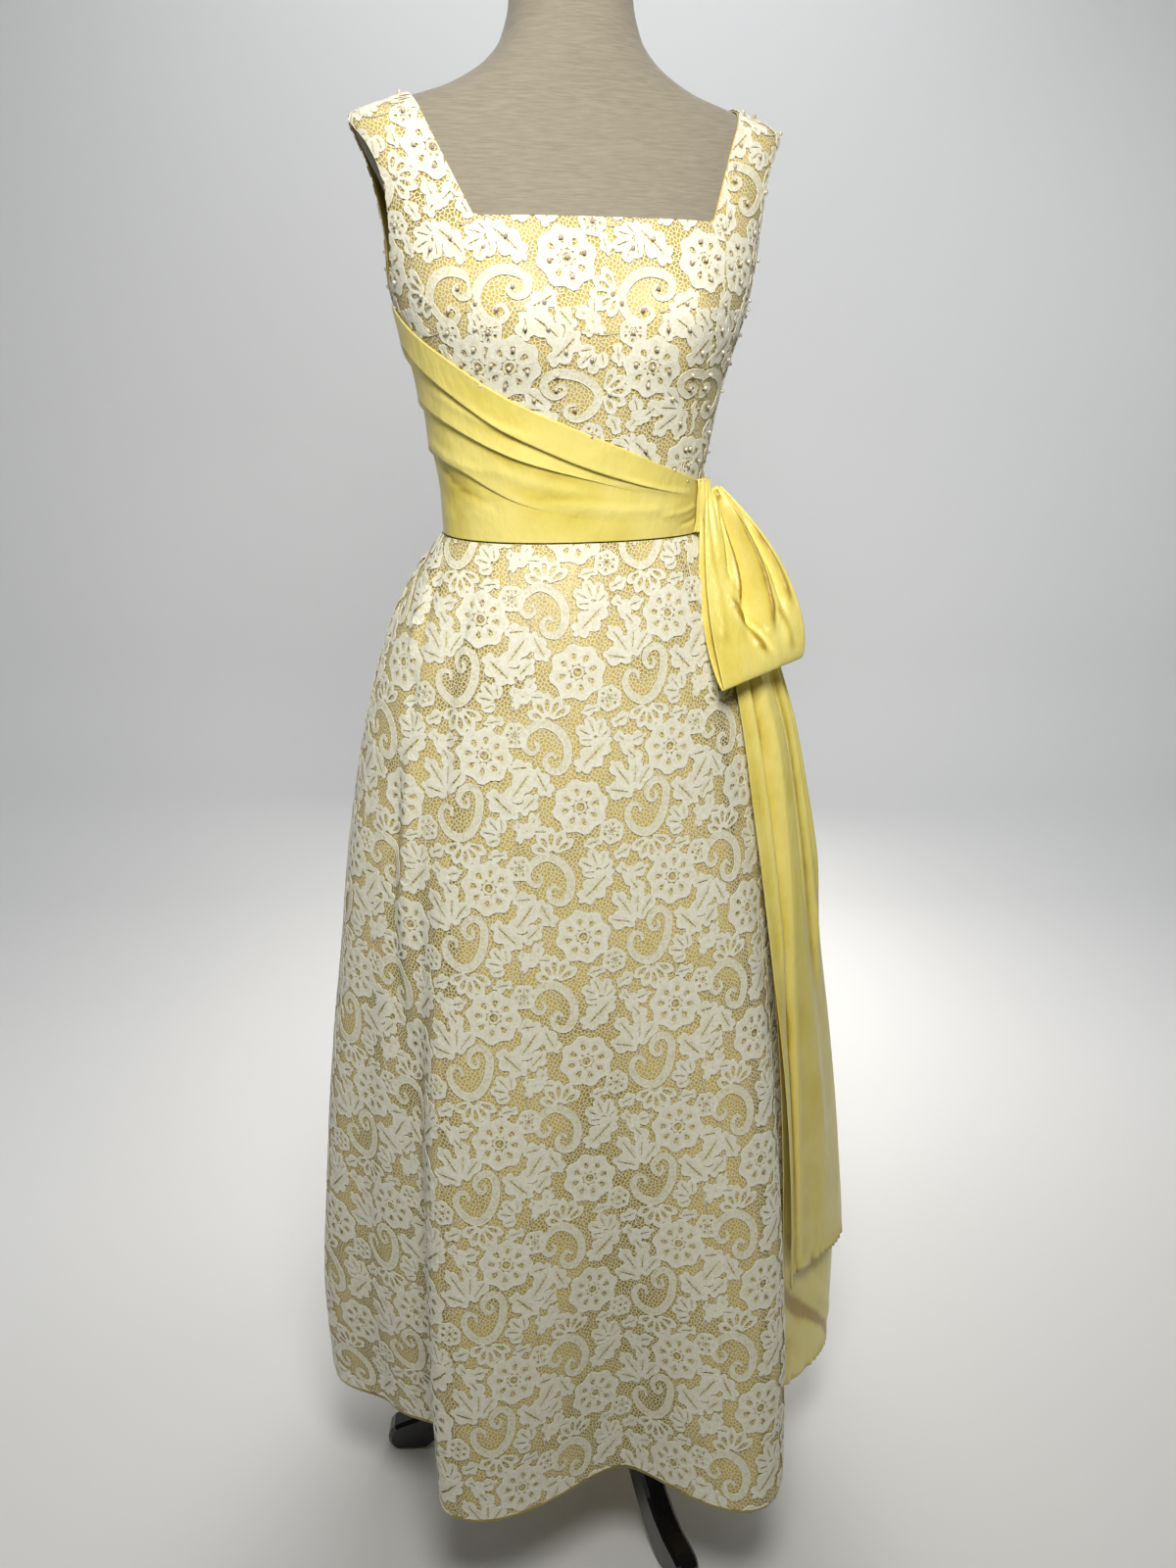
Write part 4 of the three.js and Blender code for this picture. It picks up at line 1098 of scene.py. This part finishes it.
# Panels from angle to angle, and the width each is cut to.
BODICE_LINING = (
    ("front", -SIDE, SIDE, 0.48),
    ("back_left", SIDE, 180.0, 0.25),
    ("back_right", 180.0, 270.0, 0.25),
)
BODICE_LACE = (
    ("front", -PRINCESS, PRINCESS, 0.26),
    ("side_left", PRINCESS, SIDE, 0.13),
    ("side_right", -SIDE, -PRINCESS, 0.13),
    ("back_left", SIDE, 180.0, 0.25),
    ("back_right", 180.0, 270.0, 0.25),
)

# The bodice's lace lies sideways: its first flower's place across the front and its height.
BODICE_FLOWER = (-0.034, 1.417)
BODICE_TURN = 90.0
# Middle angle of each panel, and how far round the body its lace has moved on from the front's.
BODICE_LAY = {
    "front": (0.0, 0.0),
    "side_left": (65.0, 0.135),
    "side_right": (-65.0, -0.135),
    "back_left": (180.0, 0.03),
    "back_right": (180.0, 0.03),
}
MOTIF_UNDER_SASH, MOTIF_INSET = 0.010, 0.0002
# A bead's radius, and how far out its middle is sewn.
BEAD, BEAD_OUT = 0.0020, 0.00494
BEADS = [  # places in a repeat, in centimetres
    (0.0, 0.0), (1.55, 0.35), (-0.35, 1.55), (-1.55, -0.35), (0.35, -1.55),
    (9.05, 4.95), (10.6, 4.7), (9.3, 6.5), (7.5, 5.2), (8.8, 3.4),
    (2.95, -2.55), (12.0, -5.75), (-2.85, 8.75), (6.75, -3.95),
    (-3.6, 7.95), (-4.15, 6.1), (-2.4, 4.7), (8.4, 0.9), (7.2, 0.85), (5.4, -0.9),
    (-5.6, 3.85), (-5.6, 2.0), (-3.6, 2.3), (4.0, 1.4), (6.3, 2.7),
    (0.8, -5.9), (9.7, -2.1), (1.6, -7.8), (10.4, 0.3),
]


class Panel:
    """Flat lace on a curved panel: across from its middle line, and up along one of its lines."""

    def __init__(self, surface, places, z, middle, line):
        self.places, self.z = places, z
        points = surface(places[None, :], z[:, None])
        step = np.linalg.norm(np.diff(points, axis=1), axis=-1)
        self.across = np.concatenate([np.zeros((len(points), 1)), step.cumsum(1)], 1)
        self.across -= np.array([[np.interp(middle, places, row)] for row in self.across])
        line = surface(np.full(len(z), float(line)), z)
        self.up = np.concatenate([[0], np.linalg.norm(np.diff(line, axis=0), axis=-1).cumsum()])

    def size(self):
        return (self.across.min(), self.across.max()), (0, self.up[-1])


class BodicePanel(Panel):
    """Its lace has moved on round the body from the front's, by as much as moved says."""

    def __init__(self, start, end, middle, moved):
        angle, z = np.linspace(start, end, 120), np.linspace(WAIST, LACE_TOP, 260)
        super().__init__(body_point, angle, z, middle, STRAP_MERIDIAN)
        self.across += moved

    def height(self, z):
        return float(np.interp(z, self.z, self.up))

    def place(self, points):
        """Angle and height on the body of flat points, and which of them lie outside."""
        s, t = points[:, 0], points[:, 1]
        z = np.interp(t, self.up, self.z)
        row = np.clip(np.interp(t, self.up, np.arange(len(self.up))), 0, len(self.up) - 1).astype(int)
        angle = np.empty(len(s))
        outside = (t <= 0) | (t >= self.up[-1])
        for r in np.unique(row):
            here = row == r
            angle[here] = np.interp(s[here], self.across[r], self.places)
            outside[here] |= (s[here] <= self.across[r][0]) | (s[here] >= self.across[r][-1])
        return angle, z, outside

    def hidden(self, angle, z, margin):
        """Whether a place lies in a hole or under the sash."""
        front = Curve(SASH_COLUMNS, SASH_FRONT, "angle", "top")(angle)
        round_back = np.where(angle < -90, angle + 360, angle)
        back = Curve(SASH_COLUMNS, SASH_BACK, "angle", "top")(round_back)
        top = np.where((angle > KNOT_ANGLE) | (angle < -90), back, front)
        return (hole_depth(body_point(angle, z)) > -margin) | (z < top - MOTIF_UNDER_SASH + 2 * margin)


def bodice_panel(part, start, end):
    middle, moved = BODICE_LAY[part]
    panel = BodicePanel(start, end, middle, moved)
    across, z = BODICE_FLOWER
    return panel, (across, panel.height(z))


def bodice_motifs(part, start, end):
    panel, first = bodice_panel(part, start, end)
    for kind, chart in CHARTS.items():
        points, heights, faces = spread_repeats(chart, *panel.size(), first, BODICE_TURN)
        angle, z, outside = panel.place(points)
        outside |= panel.hidden(angle, z, 0)
        used, faces = kept_faces(faces, outside)
        angle, z, _ = trim_to_holes(angle[used], z[used], MOTIF_INSET)
        place = body_out(angle, z, MOTIF_OUT + heights[used])
        dress(add_motifs(f"lace_bodice_{part}_{kind}", place, faces, heights[used]), "lace")


def bead_shape(rings=6, sides=10):
    up = np.linspace(-np.pi / 2, np.pi / 2, rings + 1)
    turn = np.linspace(0, 2 * np.pi, sides, endpoint=False)
    circle = np.stack([np.cos(turn), np.sin(turn)], 1)
    points = [np.column_stack([circle * math.cos(a), np.full(sides, math.sin(a))]) for a in up]
    return np.concatenate(points), grid_faces(rings + 1, sides, True)


def bodice_beads():
    """All beads as one piece, each sewn on with its hole along the cloth."""
    shape, faces = bead_shape()
    points, order = [], []
    for part, start, end, _ in BODICE_LACE:
        panel, first = bodice_panel(part, start, end)
        spots = (np.array(BEADS), np.zeros(len(BEADS)), np.arange(len(BEADS))[:, None])
        flat, _, _ = spread_repeats(spots, *panel.size(), first, BODICE_TURN)
        angle, z, outside = panel.place(flat)
        keep = ~(outside | panel.hidden(angle, z, BEAD))
        away = normals(body_point, angle[keep], z[keep], *BODY_STEP)
        for place, up in zip(body_out(angle[keep], z[keep], BEAD_OUT), away):
            turn = np.array(Vector(up).to_track_quat("Z", "Y").to_matrix())
            order.append(faces + len(shape) * len(points))
            points.append(shape * BEAD @ turn.T + place)
    beads = add_mesh("beads_bodice", np.concatenate(points), np.concatenate(order), PEARL)
    dress(beads, "lace")


# The lap over the zip: the angle of its free edge, the degrees it spans, and its ends.
ZIP_ANGLE, ZIP_LAP = 178.2, 4.2
ZIP_LOW, ZIP_HIGH = 1.255, 1.4665
# It lifts towards its free edge and is drawn in along a line of stitches, with painted shadow along it.
LAP_LIFT, LAP_TONE = 0.0014, 0.9
STITCH_PLACE, STITCH_WIDE, STITCH_DEPTH = 0.22, 0.07, 0.0007
SHADOW_WIDE, SHADOW_TONE = 0.08, 0.6


def build_closure():
    """The lap over the zip, from the neckline down under the sash, with its line of stitches."""
    across, up = np.meshgrid(np.linspace(1, 0, 15), np.linspace(0, 1, 70))
    stitched = STITCH_DEPTH * bump(across, STITCH_PLACE, STITCH_WIDE)
    lift = LAP_LIFT * smooth(part_of(across, 0.6, 1.0))
    angle = ZIP_ANGLE - ZIP_LAP * (1 - across)
    lap = body_out(angle, lerp(ZIP_LOW, ZIP_HIGH, up), LAP_OUT + lift - stitched)
    # Painted shadow along the line of stitches.
    tone = LAP_TONE - SHADOW_TONE * bump(across, STITCH_PLACE, SHADOW_WIDE)
    lap = add_grid("lace_zip_lap", lap[:, ::-1], LACE, tone=tone[:, ::-1])
    dress(lap, "lace")


def build_bodice():
    for part, start, end, width in BODICE_LINING:
        name = f"bodice_lining_{part}"
        lining = bodice_sheet(f"satin_{name}", start, end, LINING_OUT, SHADED_LINING_SATIN, CLOTH)
        dress(lining, "satin", name)
    for part, start, end, width in BODICE_LACE:
        net = bodice_sheet(f"net_bodice_{part}", start, end, NET_OUT, NET, 0)
        dress(net, "lace", f"bodice_lace_{part}")
        bodice_motifs(part, start, end)
    bodice_beads()


# ---- Sash, knot, loop and tails ----

# Edges of the three pleats at each angle, as shares of the sash's height.
SASH_LINES_COLUMNS = ("angle", "low", "middle", "high")
SASH_LINES_FRONT = [
    (-90, 0.40, 0.61, 0.85),
    (-60, 0.39, 0.62, 0.81),
    (-30, 0.27, 0.60, 0.75),
    (0, 0.21, 0.585, 0.68),
    (30, 0.19, 0.56, 0.66),
    (58, 0.18, 0.52, 0.66),
]
SASH_LINES_BACK = [
    (58, 0.18, 0.52, 0.66),
    (100, 0.20, 0.54, 0.68),
    (150, 0.26, 0.57, 0.73),
    (200, 0.33, 0.59, 0.78),
    (240, 0.38, 0.61, 0.82),
    (270, 0.40, 0.61, 0.85),
]
# How deep each of the three pleats is: full at the wearer's right side, gone before the knot.
SASH_FADE_FRONT = ((-60, -14), (-40, 20), (0, 46))
SASH_FADE_BACK = ((240, 190), (220, 140), (190, 90))
SASH_DEPTH = (0.0034, 0.0038, 0.0038)
# Rows over a pleat's step: share of the way to the next pleat, and of the step.
STEP_ROWS = ((0.0, 0.0), (0.012, 0.75), (0.03, 1.0))
PLEAT_FROM, PLEAT_TO, PLEAT_ROWS, PLEAT_FALL = 0.07, 0.985, 14, 1.4
# Creases: from, to (both across and up, in metres), width and depth.
CREASE_DEGREE = 0.00215
SASH_CREASES = [
    (-0.175, 1.246, -0.088, 1.206, 0.0032, -0.0013),
    (-0.190, 1.268, -0.090, 1.238, 0.0040, 0.0012),
    (-0.160, 1.316, -0.050, 1.268, 0.0045, 0.0012),
    (-0.110, 1.248, 0.000, 1.216, 0.0050, 0.0010),
    (-0.060, 1.212, 0.090, 1.200, 0.0055, 0.0012),
    (0.010, 1.232, 0.112, 1.214, 0.0040, 0.0013),
    (0.060, 1.196, 0.118, 1.203, 0.0030, 0.0012),
    (0.085, 1.186, 0.119, 1.192, 0.0025, -0.0012),
    (-0.200, 1.206, -0.140, 1.196, 0.0045, 0.0010),
]
# Each part of the sash with the width it is cut to, its height and the share of both it fills.
SASHES = (
    ("front", SASH_FRONT, SASH_LINES_FRONT, SASH_FADE_FRONT, 0.35),
    ("back", SASH_BACK, SASH_LINES_BACK, SASH_FADE_BACK, 0.46),
)


def sash_rows():
    """Rows up the sash: (pleat below, share of the way to the next, share of the step)."""
    rows = []
    for band in range(len(SASH_DEPTH) + 1):
        rows += [(band, *row) for row in STEP_ROWS]
        rows += [(band, share, 1.0) for share in np.linspace(PLEAT_FROM, PLEAT_TO, PLEAT_ROWS)]
    return rows


def sash_height(table, lines, angle, band, share):
    """Height that is a share of the way from one pleat's edge to the next."""
    bottom, top = (Curve(SASH_COLUMNS, table, "angle", name)(angle) for name in ("bottom", "top"))
    pleats = [Curve(SASH_LINES_COLUMNS, lines, "angle", name)(angle) for name in SASH_LINES_COLUMNS[1:]]
    edges = [0 * angle, *pleats, 0 * angle + 1]
    return lerp(bottom, top, lerp(edges[band], edges[band + 1], share))


def sash_sheet(name, table, lines, fades):
    angle = np.linspace(table[0][0], table[-1][0], 104)
    grid = []
    for band, share, step in sash_rows():
        z = sash_height(table, lines, angle, band, share)
        rise = creases(angle * CREASE_DEGREE, z, SASH_CREASES)
        if band:
            full, gone = fades[band - 1]
            depth = SASH_DEPTH[band - 1] * smooth(part_of(angle, gone, full))
            rise = rise + depth * step * (1 - share) ** PLEAT_FALL
        grid.append(body_out(angle, z, SASH_OUT + rise))
    return add_grid(name, np.array(grid), SATIN)


def build_sash():
    for part, table, lines, fades, width in SASHES:
        sash = sash_sheet(f"satin_sash_{part}", table, lines, fades)
        dress(sash, "satin", f"sash_{part}")


def knot_place(across, up):
    return KNOT_MIDDLE + KNOT_HALF_ANGLE * across, lerp(KNOT_BOTTOM, KNOT_TOP, up)


def knot_out(across, up):
    """How far the knot's face lies out: it swells at its middle, with gathers that waver up it."""
    swell = KNOT_RISE * np.sqrt(1 - 0.9 * across**2) * (0.72 + 0.28 * np.sin(np.pi * up))
    gathers = np.sin(KNOT_GATHERS * across + 1.6 * np.sin(3 * up)) * np.sin(np.pi * up) ** 0.5
    return KNOT_FACE + swell + KNOT_GATHER_RISE * gathers


def build_knot():
    across, up = np.meshgrid(np.linspace(-1, 1, 60), np.linspace(0, 1, 40))
    outer = body_out(*knot_place(across, up), knot_out(across, up))
    inner = body_out(*knot_place(across, up), KNOT_BACK)
    knot = add_grid("satin_knot", np.concatenate([inner[:1], outer, inner[-1:]]), SATIN)
    dress(knot, "satin", "bow_knot")


def loop_point(across, turn):
    """Place on the loop: turn goes from its root down the outer side and back up the inner."""
    phase = np.pi * turn
    reach = np.sin(phase) ** 0.8
    shape = reach[..., None]
    line = [lerp(np.array(a), np.array(b), across[..., None]) for a, b in (LOOP_ROOT, LOOP_BULGE, LOOP_FOLD)]
    point = line[0] * (1 - shape) ** 2 + line[1] * 2 * shape * (1 - shape) + line[2] * shape**2
    gap = lerp(LOOP_ROOT_GAP, lerp(LOOP_GAP_LOW, LOOP_GAP_HIGH, across), reach)
    gather = LOOP_GATHER_RISE * np.exp(-reach / LOOP_GATHER_FADE) * np.sin(2 * np.pi * LOOP_GATHERS * across)
    outer = smooth(part_of(turn, 0.5, 0.40))
    folds = lerp(LOOP_INNER_FOLDS, 1, outer) * creases(across, 2 * reach, LOOP_CREASES)
    return point + LOOP_OUTWARD * (gap * np.cos(phase) + gather + folds)[..., None]


def build_loop():
    across, turn = np.meshgrid(np.linspace(0, 1, 84), np.linspace(0.005, 0.995, 140))
    loop = add_grid("satin_loop", loop_point(across, turn), SATIN)
    dress(loop, "satin", "bow_loop")


# The front tail's deep fold: its place across, down the tail, and how far the cloth past it stands out.
TURN_COLUMNS = ("down", "across", "rise")
TURN = [
    (0.00, 0.20, 0.0020),
    (0.12, 0.24, 0.0100),
    (0.26, 0.30, 0.0170),
    (0.45, 0.30, 0.0140),
    (0.70, 0.25, 0.0080),
    (1.00, 0.18, 0.0020),
]
turn_across, turn_rise = (Curve(TURN_COLUMNS, TURN, "down", name) for name in ("across", "rise"))
# TURN_FOOT dips the cloth at the fold's foot, where the satin paints shade in the hollow.
TURN_STEP, TURN_FOOT = 0.030, 0.15
# Folds of the tails: from and to as shares across and down, width and depth.
TAIL_FOLDS = {
    "front": [
        (0.12, 0.06, 0.16, 0.62, 0.050, 0.0060),
        (0.54, 0.04, 0.52, 0.50, 0.030, -0.0060),
        (0.66, 0.06, 0.70, 0.62, 0.040, 0.0090),
        (0.76, 0.04, 0.82, 0.46, 0.024, -0.0050),
        (0.88, 0.06, 0.92, 0.52, 0.035, 0.0070),
        (0.84, 0.20, 0.70, 0.70, 0.100, 0.0026),
        (0.55, 0.55, 0.50, 0.95, 0.080, 0.0022),
    ],
    "back": [
        (0.30, 0.00, 0.28, 0.60, 0.060, 0.0016),
        (0.72, 0.00, 0.70, 0.70, 0.060, 0.0018),
        (0.00, 0.84, 0.80, 0.995, 0.014, -0.0040),
        (0.02, 0.80, 0.78, 0.965, 0.020, 0.0030),
    ],
}
# The hem's stitched band, its puckers, and the height from which its share down is counted.
HEM_BAND, HEM_PUCKER, HEM_PUCKERS, HEM_FROM = 0.018, 0.0011, 95, 1.0
# The width the tails are cut to, the share of it and their length that they fill, their lengths.
TAILS = (("front", TAIL_FRONT, 0.89), ("back", TAIL_BACK, 1.03))


def tail_folds(part, across, down):
    rise = creases(across, down, TAIL_FOLDS[part])
    if part == "front":
        edge = turn_across(down)
        beyond = smooth(part_of(across, edge, edge + TURN_STEP)) * (1 - part_of(across, edge, 1.1)) ** 0.8
        rise = rise + turn_rise(down) * (beyond - TURN_FOOT * bump(across, edge - TURN_STEP, 2 * TURN_STEP))
    return rise


def tail_point(part, tail, across, down):
    """Place on a tail: across from its edge nearer the front, down from the knot to its hem."""
    z = lerp(TAIL_TOP, lerp(tail.hem_near, tail.hem_far, across), down)
    near = tail_near(z) + tail.inset * np.sin(np.pi * down)
    angle = lerp(near, tail_far(z), across)
    ripple = 0.5 * tail.wave * np.sin(np.pi * down) * np.sin(2 * np.pi * tail.waves * across)
    band = HEM_BAND / (HEM_FROM - 0.5 * (tail.hem_near + tail.hem_far))
    hem = smooth(part_of(down, 1 - band, 1 - 0.4 * band))
    pucker = HEM_PUCKER * hem * np.sin(HEM_PUCKERS * across + 6 * np.sin(11 * across))
    clear = lerp(tail.clear_top, tail.clear_hem, down) + ripple + pucker + tail_folds(part, across, down)
    return around(skirt_base(angle, z) + TAIL_FOLLOW * fold_at(angle, z) + clear, angle, z)


def build_tails():
    for part, tail, length in TAILS:
        across, down = np.meshgrid(np.linspace(0, 1, 96), np.linspace(1, 0, 130) ** 1.1)
        piece = add_grid(f"satin_tail_{part}", tail_point(part, tail, across, down), SATIN)
        dress(piece, "satin", f"tail_{part}")


# ---- Skirt ----

# Gores of the lining and panels of lace: from fold to fold, with the width at the hem and the
# flat area, hem allowance included. Below them stand the lengths they are cut to.
LINING_GORES = (
    ("front", "front_ridge_right", "front_ridge_left", 0.37, 0.32),
    ("front_side_left", "front_ridge_left", "side_seam_left", 0.44, 0.27),
    ("front_side_right", "side_seam_right", "front_ridge_right", 0.35, 0.23),
    ("back_side_left", "side_seam_left", "back_groove_left", 0.25, 0.19),
    ("back_left", "back_groove_left", "centre_back", 0.28, 0.22),
    ("back_right", "centre_back", "back_groove_outer_right", 0.30, 0.225),
    ("back_side_right", "back_groove_outer_right", "side_seam_right", 0.22, 0.18),
)
SKIRT_PANELS = (
    ("front", "side_seam_right", "side_seam_left", 1.14, 0.81),
    ("back_left", "side_seam_left", "centre_back", 0.51, 0.40),
    ("back_right", "centre_back", "side_seam_right", 0.50, 0.395),
)
# Columns to a fold, and rows.
GORE_GRID, PANEL_GRID = (9, 80), (11, 100)


def panel_ends(start, end):
    """Places of two folds in their table, the second counted on past the table's end."""
    start, end = FOLD_NAMES.index(start), FOLD_NAMES.index(end)
    return start, end + (len(FOLDS) if end <= start else 0)


def skirt_grid(start, end, hem, columns, rows):
    """Places and heights of a grid from fold to fold, with so many columns to a fold."""
    position = np.linspace(start, end, (end - start) * columns)
    return np.meshgrid(position, np.linspace(hem, SKIRT_TOP, rows))


class SkirtPanel(Panel):
    """Its lace is measured up its middle line, from the hem."""

    def __init__(self, start, end, middle):
        position, z = np.linspace(start, end, 30 * (end - start)), np.linspace(HEM, SKIRT_TOP, 160)
        super().__init__(skirt_point, position, z, middle, middle)

    def place(self, points):
        """Position and height on the skirt of flat points, and which of them lie outside."""
        s, t = points[:, 0], points[:, 1]
        outside = (t < 0) | (t > self.up[-1])
        row = np.clip(np.interp(t, self.up, np.arange(len(self.up))), 0, len(self.up) - 1.001)
        below = row.astype(int)
        share = row - below
        position = np.empty(len(s))
        for r in np.unique(below):
            here = below == r
            low = np.interp(s[here], self.across[r], self.places)
            high = np.interp(s[here], self.across[r + 1], self.places)
            position[here] = lerp(low, high, share[here])
            edge = lerp(self.across[r], self.across[r + 1], 0.5)
            outside[here] |= (s[here] <= edge[0]) | (s[here] >= edge[-1])
        return position, np.interp(t, self.up, self.z), outside


# Where the first flower of each panel's lace lies: its middle line, and across and up in metres.
LACE_PLACES = {
    "front": (8.85, -0.004, 0.105),
    "back_left": (15.5, 0.03, 0.09),
    "back_right": (20.0, -0.02, 0.09),
}


def skirt_motifs(part, start, end):
    middle, across, up = LACE_PLACES[part]
    panel = SkirtPanel(start, end, middle)
    for kind, chart in CHARTS.items():
        points, heights, faces = spread_repeats(chart, *panel.size(), (across, up))
        position, z, outside = panel.place(points)
        used, faces = kept_faces(faces, outside)
        place = skirt_out(position[used], z[used], SKIRT_MOTIF_OUT + heights[used])
        dress(add_motifs(f"lace_skirt_{part}_{kind}", place, faces, heights[used]), "lace")


def build_skirt_lining():
    for part, start, end, width, area in LINING_GORES:
        position, z = skirt_grid(*panel_ends(start, end), LINING_HEM, *GORE_GRID)
        points = skirt_out(position, z, SKIRT_LINING_OUT)
        lining = add_grid(f"satin_skirt_lining_{part}", points, SHADED_LINING_SATIN)
        dress(lining, "satin", f"skirt_lining_{part}")


def build_skirt():
    build_skirt_lining()
    for part, start, end, width, area in SKIRT_PANELS:
        start, end = panel_ends(start, end)
        position, z = skirt_grid(start, end, HEM, *PANEL_GRID)
        net = add_grid(f"net_skirt_{part}", skirt_out(position, z, SKIRT_NET_OUT), NET, thick=0)
        dress(net, "lace", f"skirt_lace_{part}")
        skirt_motifs(part, start, end)


# ---- Studio ----

CAMERA_PLACE = (-0.296, -1.163, 1.34)
CAMERA_TILT, CAMERA_TURN, CAMERA_LENS = 70, -15, 27
PAPER = (0.805, 0.815, 0.825)
# The paper's line along the floor and up behind the form, as depths and heights.
SWEEP = ((-4.5, 0), (-2.0, 0), (1.1, 0), (1.5, 0.06), (1.8, 0.22), (2.0, 0.55), (2.1, 1.2), (2.1, 5.0))
SWEEP_HALF = 6.0
SURROUND, SURROUND_STRENGTH = (1.0, 0.94, 0.84, 1), 0.04
LIGHTS = (  # name, place, the place it points at, size, power, colour
    ("key", (-0.22, -1.04, 1.93), (0, 0, 1.40), 0.45, 17.5, (1, 0.97, 0.91)),
    ("top", (-0.20, -0.95, 2.70), (0, 0, 1.20), 0.8, 2.5, (1, 0.97, 0.90)),
    ("ceiling", (0.3, 1.3, 3.0), (0.2, 1.9, 0.4), 2.0, 20, (0.97, 0.98, 1)),
    ("backdrop_left", (-1.9, 0.3, 1.7), (-1.2, 2.0, 0.9), 1.4, 11, (0.95, 0.97, 1)),
    ("backdrop_right", (1.6, 0.2, 1.6), (1.2, 2.0, 0.7), 1.4, 9, (0.95, 0.97, 1)),
    ("floor", (0.5, 1.3, 0.9), (0, -0.2, 0), 0.8, 11, (1, 0.93, 0.84)),
)


def build_studio():
    """Paper from the floor up behind the form, turned to face the camera."""
    points = np.array([[(x, y, z) for x in (-SWEEP_HALF, 0.0, SWEEP_HALF)] for y, z in SWEEP])
    points[..., :2] = turned(points[..., :2], CAMERA_TURN)
    sweep = add_grid("studio_sweep", points, plain_material("studio_paper", PAPER, 0.7), thick=0)


def area_light(name, place, target, size, power, colour):
    data = bpy.data.lights.new(name, "AREA")
    data.shape, data.size, data.energy, data.color = "DISK", size, power, colour
    lamp = bpy.data.objects.new(name, data)
    lamp.location = place
    lamp.rotation_euler = (Vector(target) - Vector(place)).to_track_quat("-Z", "Y").to_euler()
    bpy.context.collection.objects.link(lamp)


def build_camera():
    data = bpy.data.cameras.new("camera")
    data.lens, data.sensor_width = CAMERA_LENS, 36
    camera = bpy.data.objects.new("camera", data)
    camera.location = Vector(CAMERA_PLACE) + Vector(SHIFT)
    camera.rotation_euler = (math.radians(CAMERA_TILT), 0, math.radians(CAMERA_TURN))
    bpy.context.collection.objects.link(camera)
    bpy.context.scene.camera = camera


def build_light():
    world = bpy.data.worlds.new("studio")
    world.use_nodes = True
    background = world.node_tree.nodes["Background"]
    background.inputs["Color"].default_value = SURROUND
    background.inputs["Strength"].default_value = SURROUND_STRENGTH
    scene = bpy.context.scene
    scene.world = world
    scene.view_settings.view_transform = "Standard"
    for light in LIGHTS:
        area_light(*light)


build_form()
build_stand()
build_bodice()
build_closure()
build_sash()
build_knot()
build_loop()
build_tails()
build_skirt()
build_studio()
build_camera()
build_light()
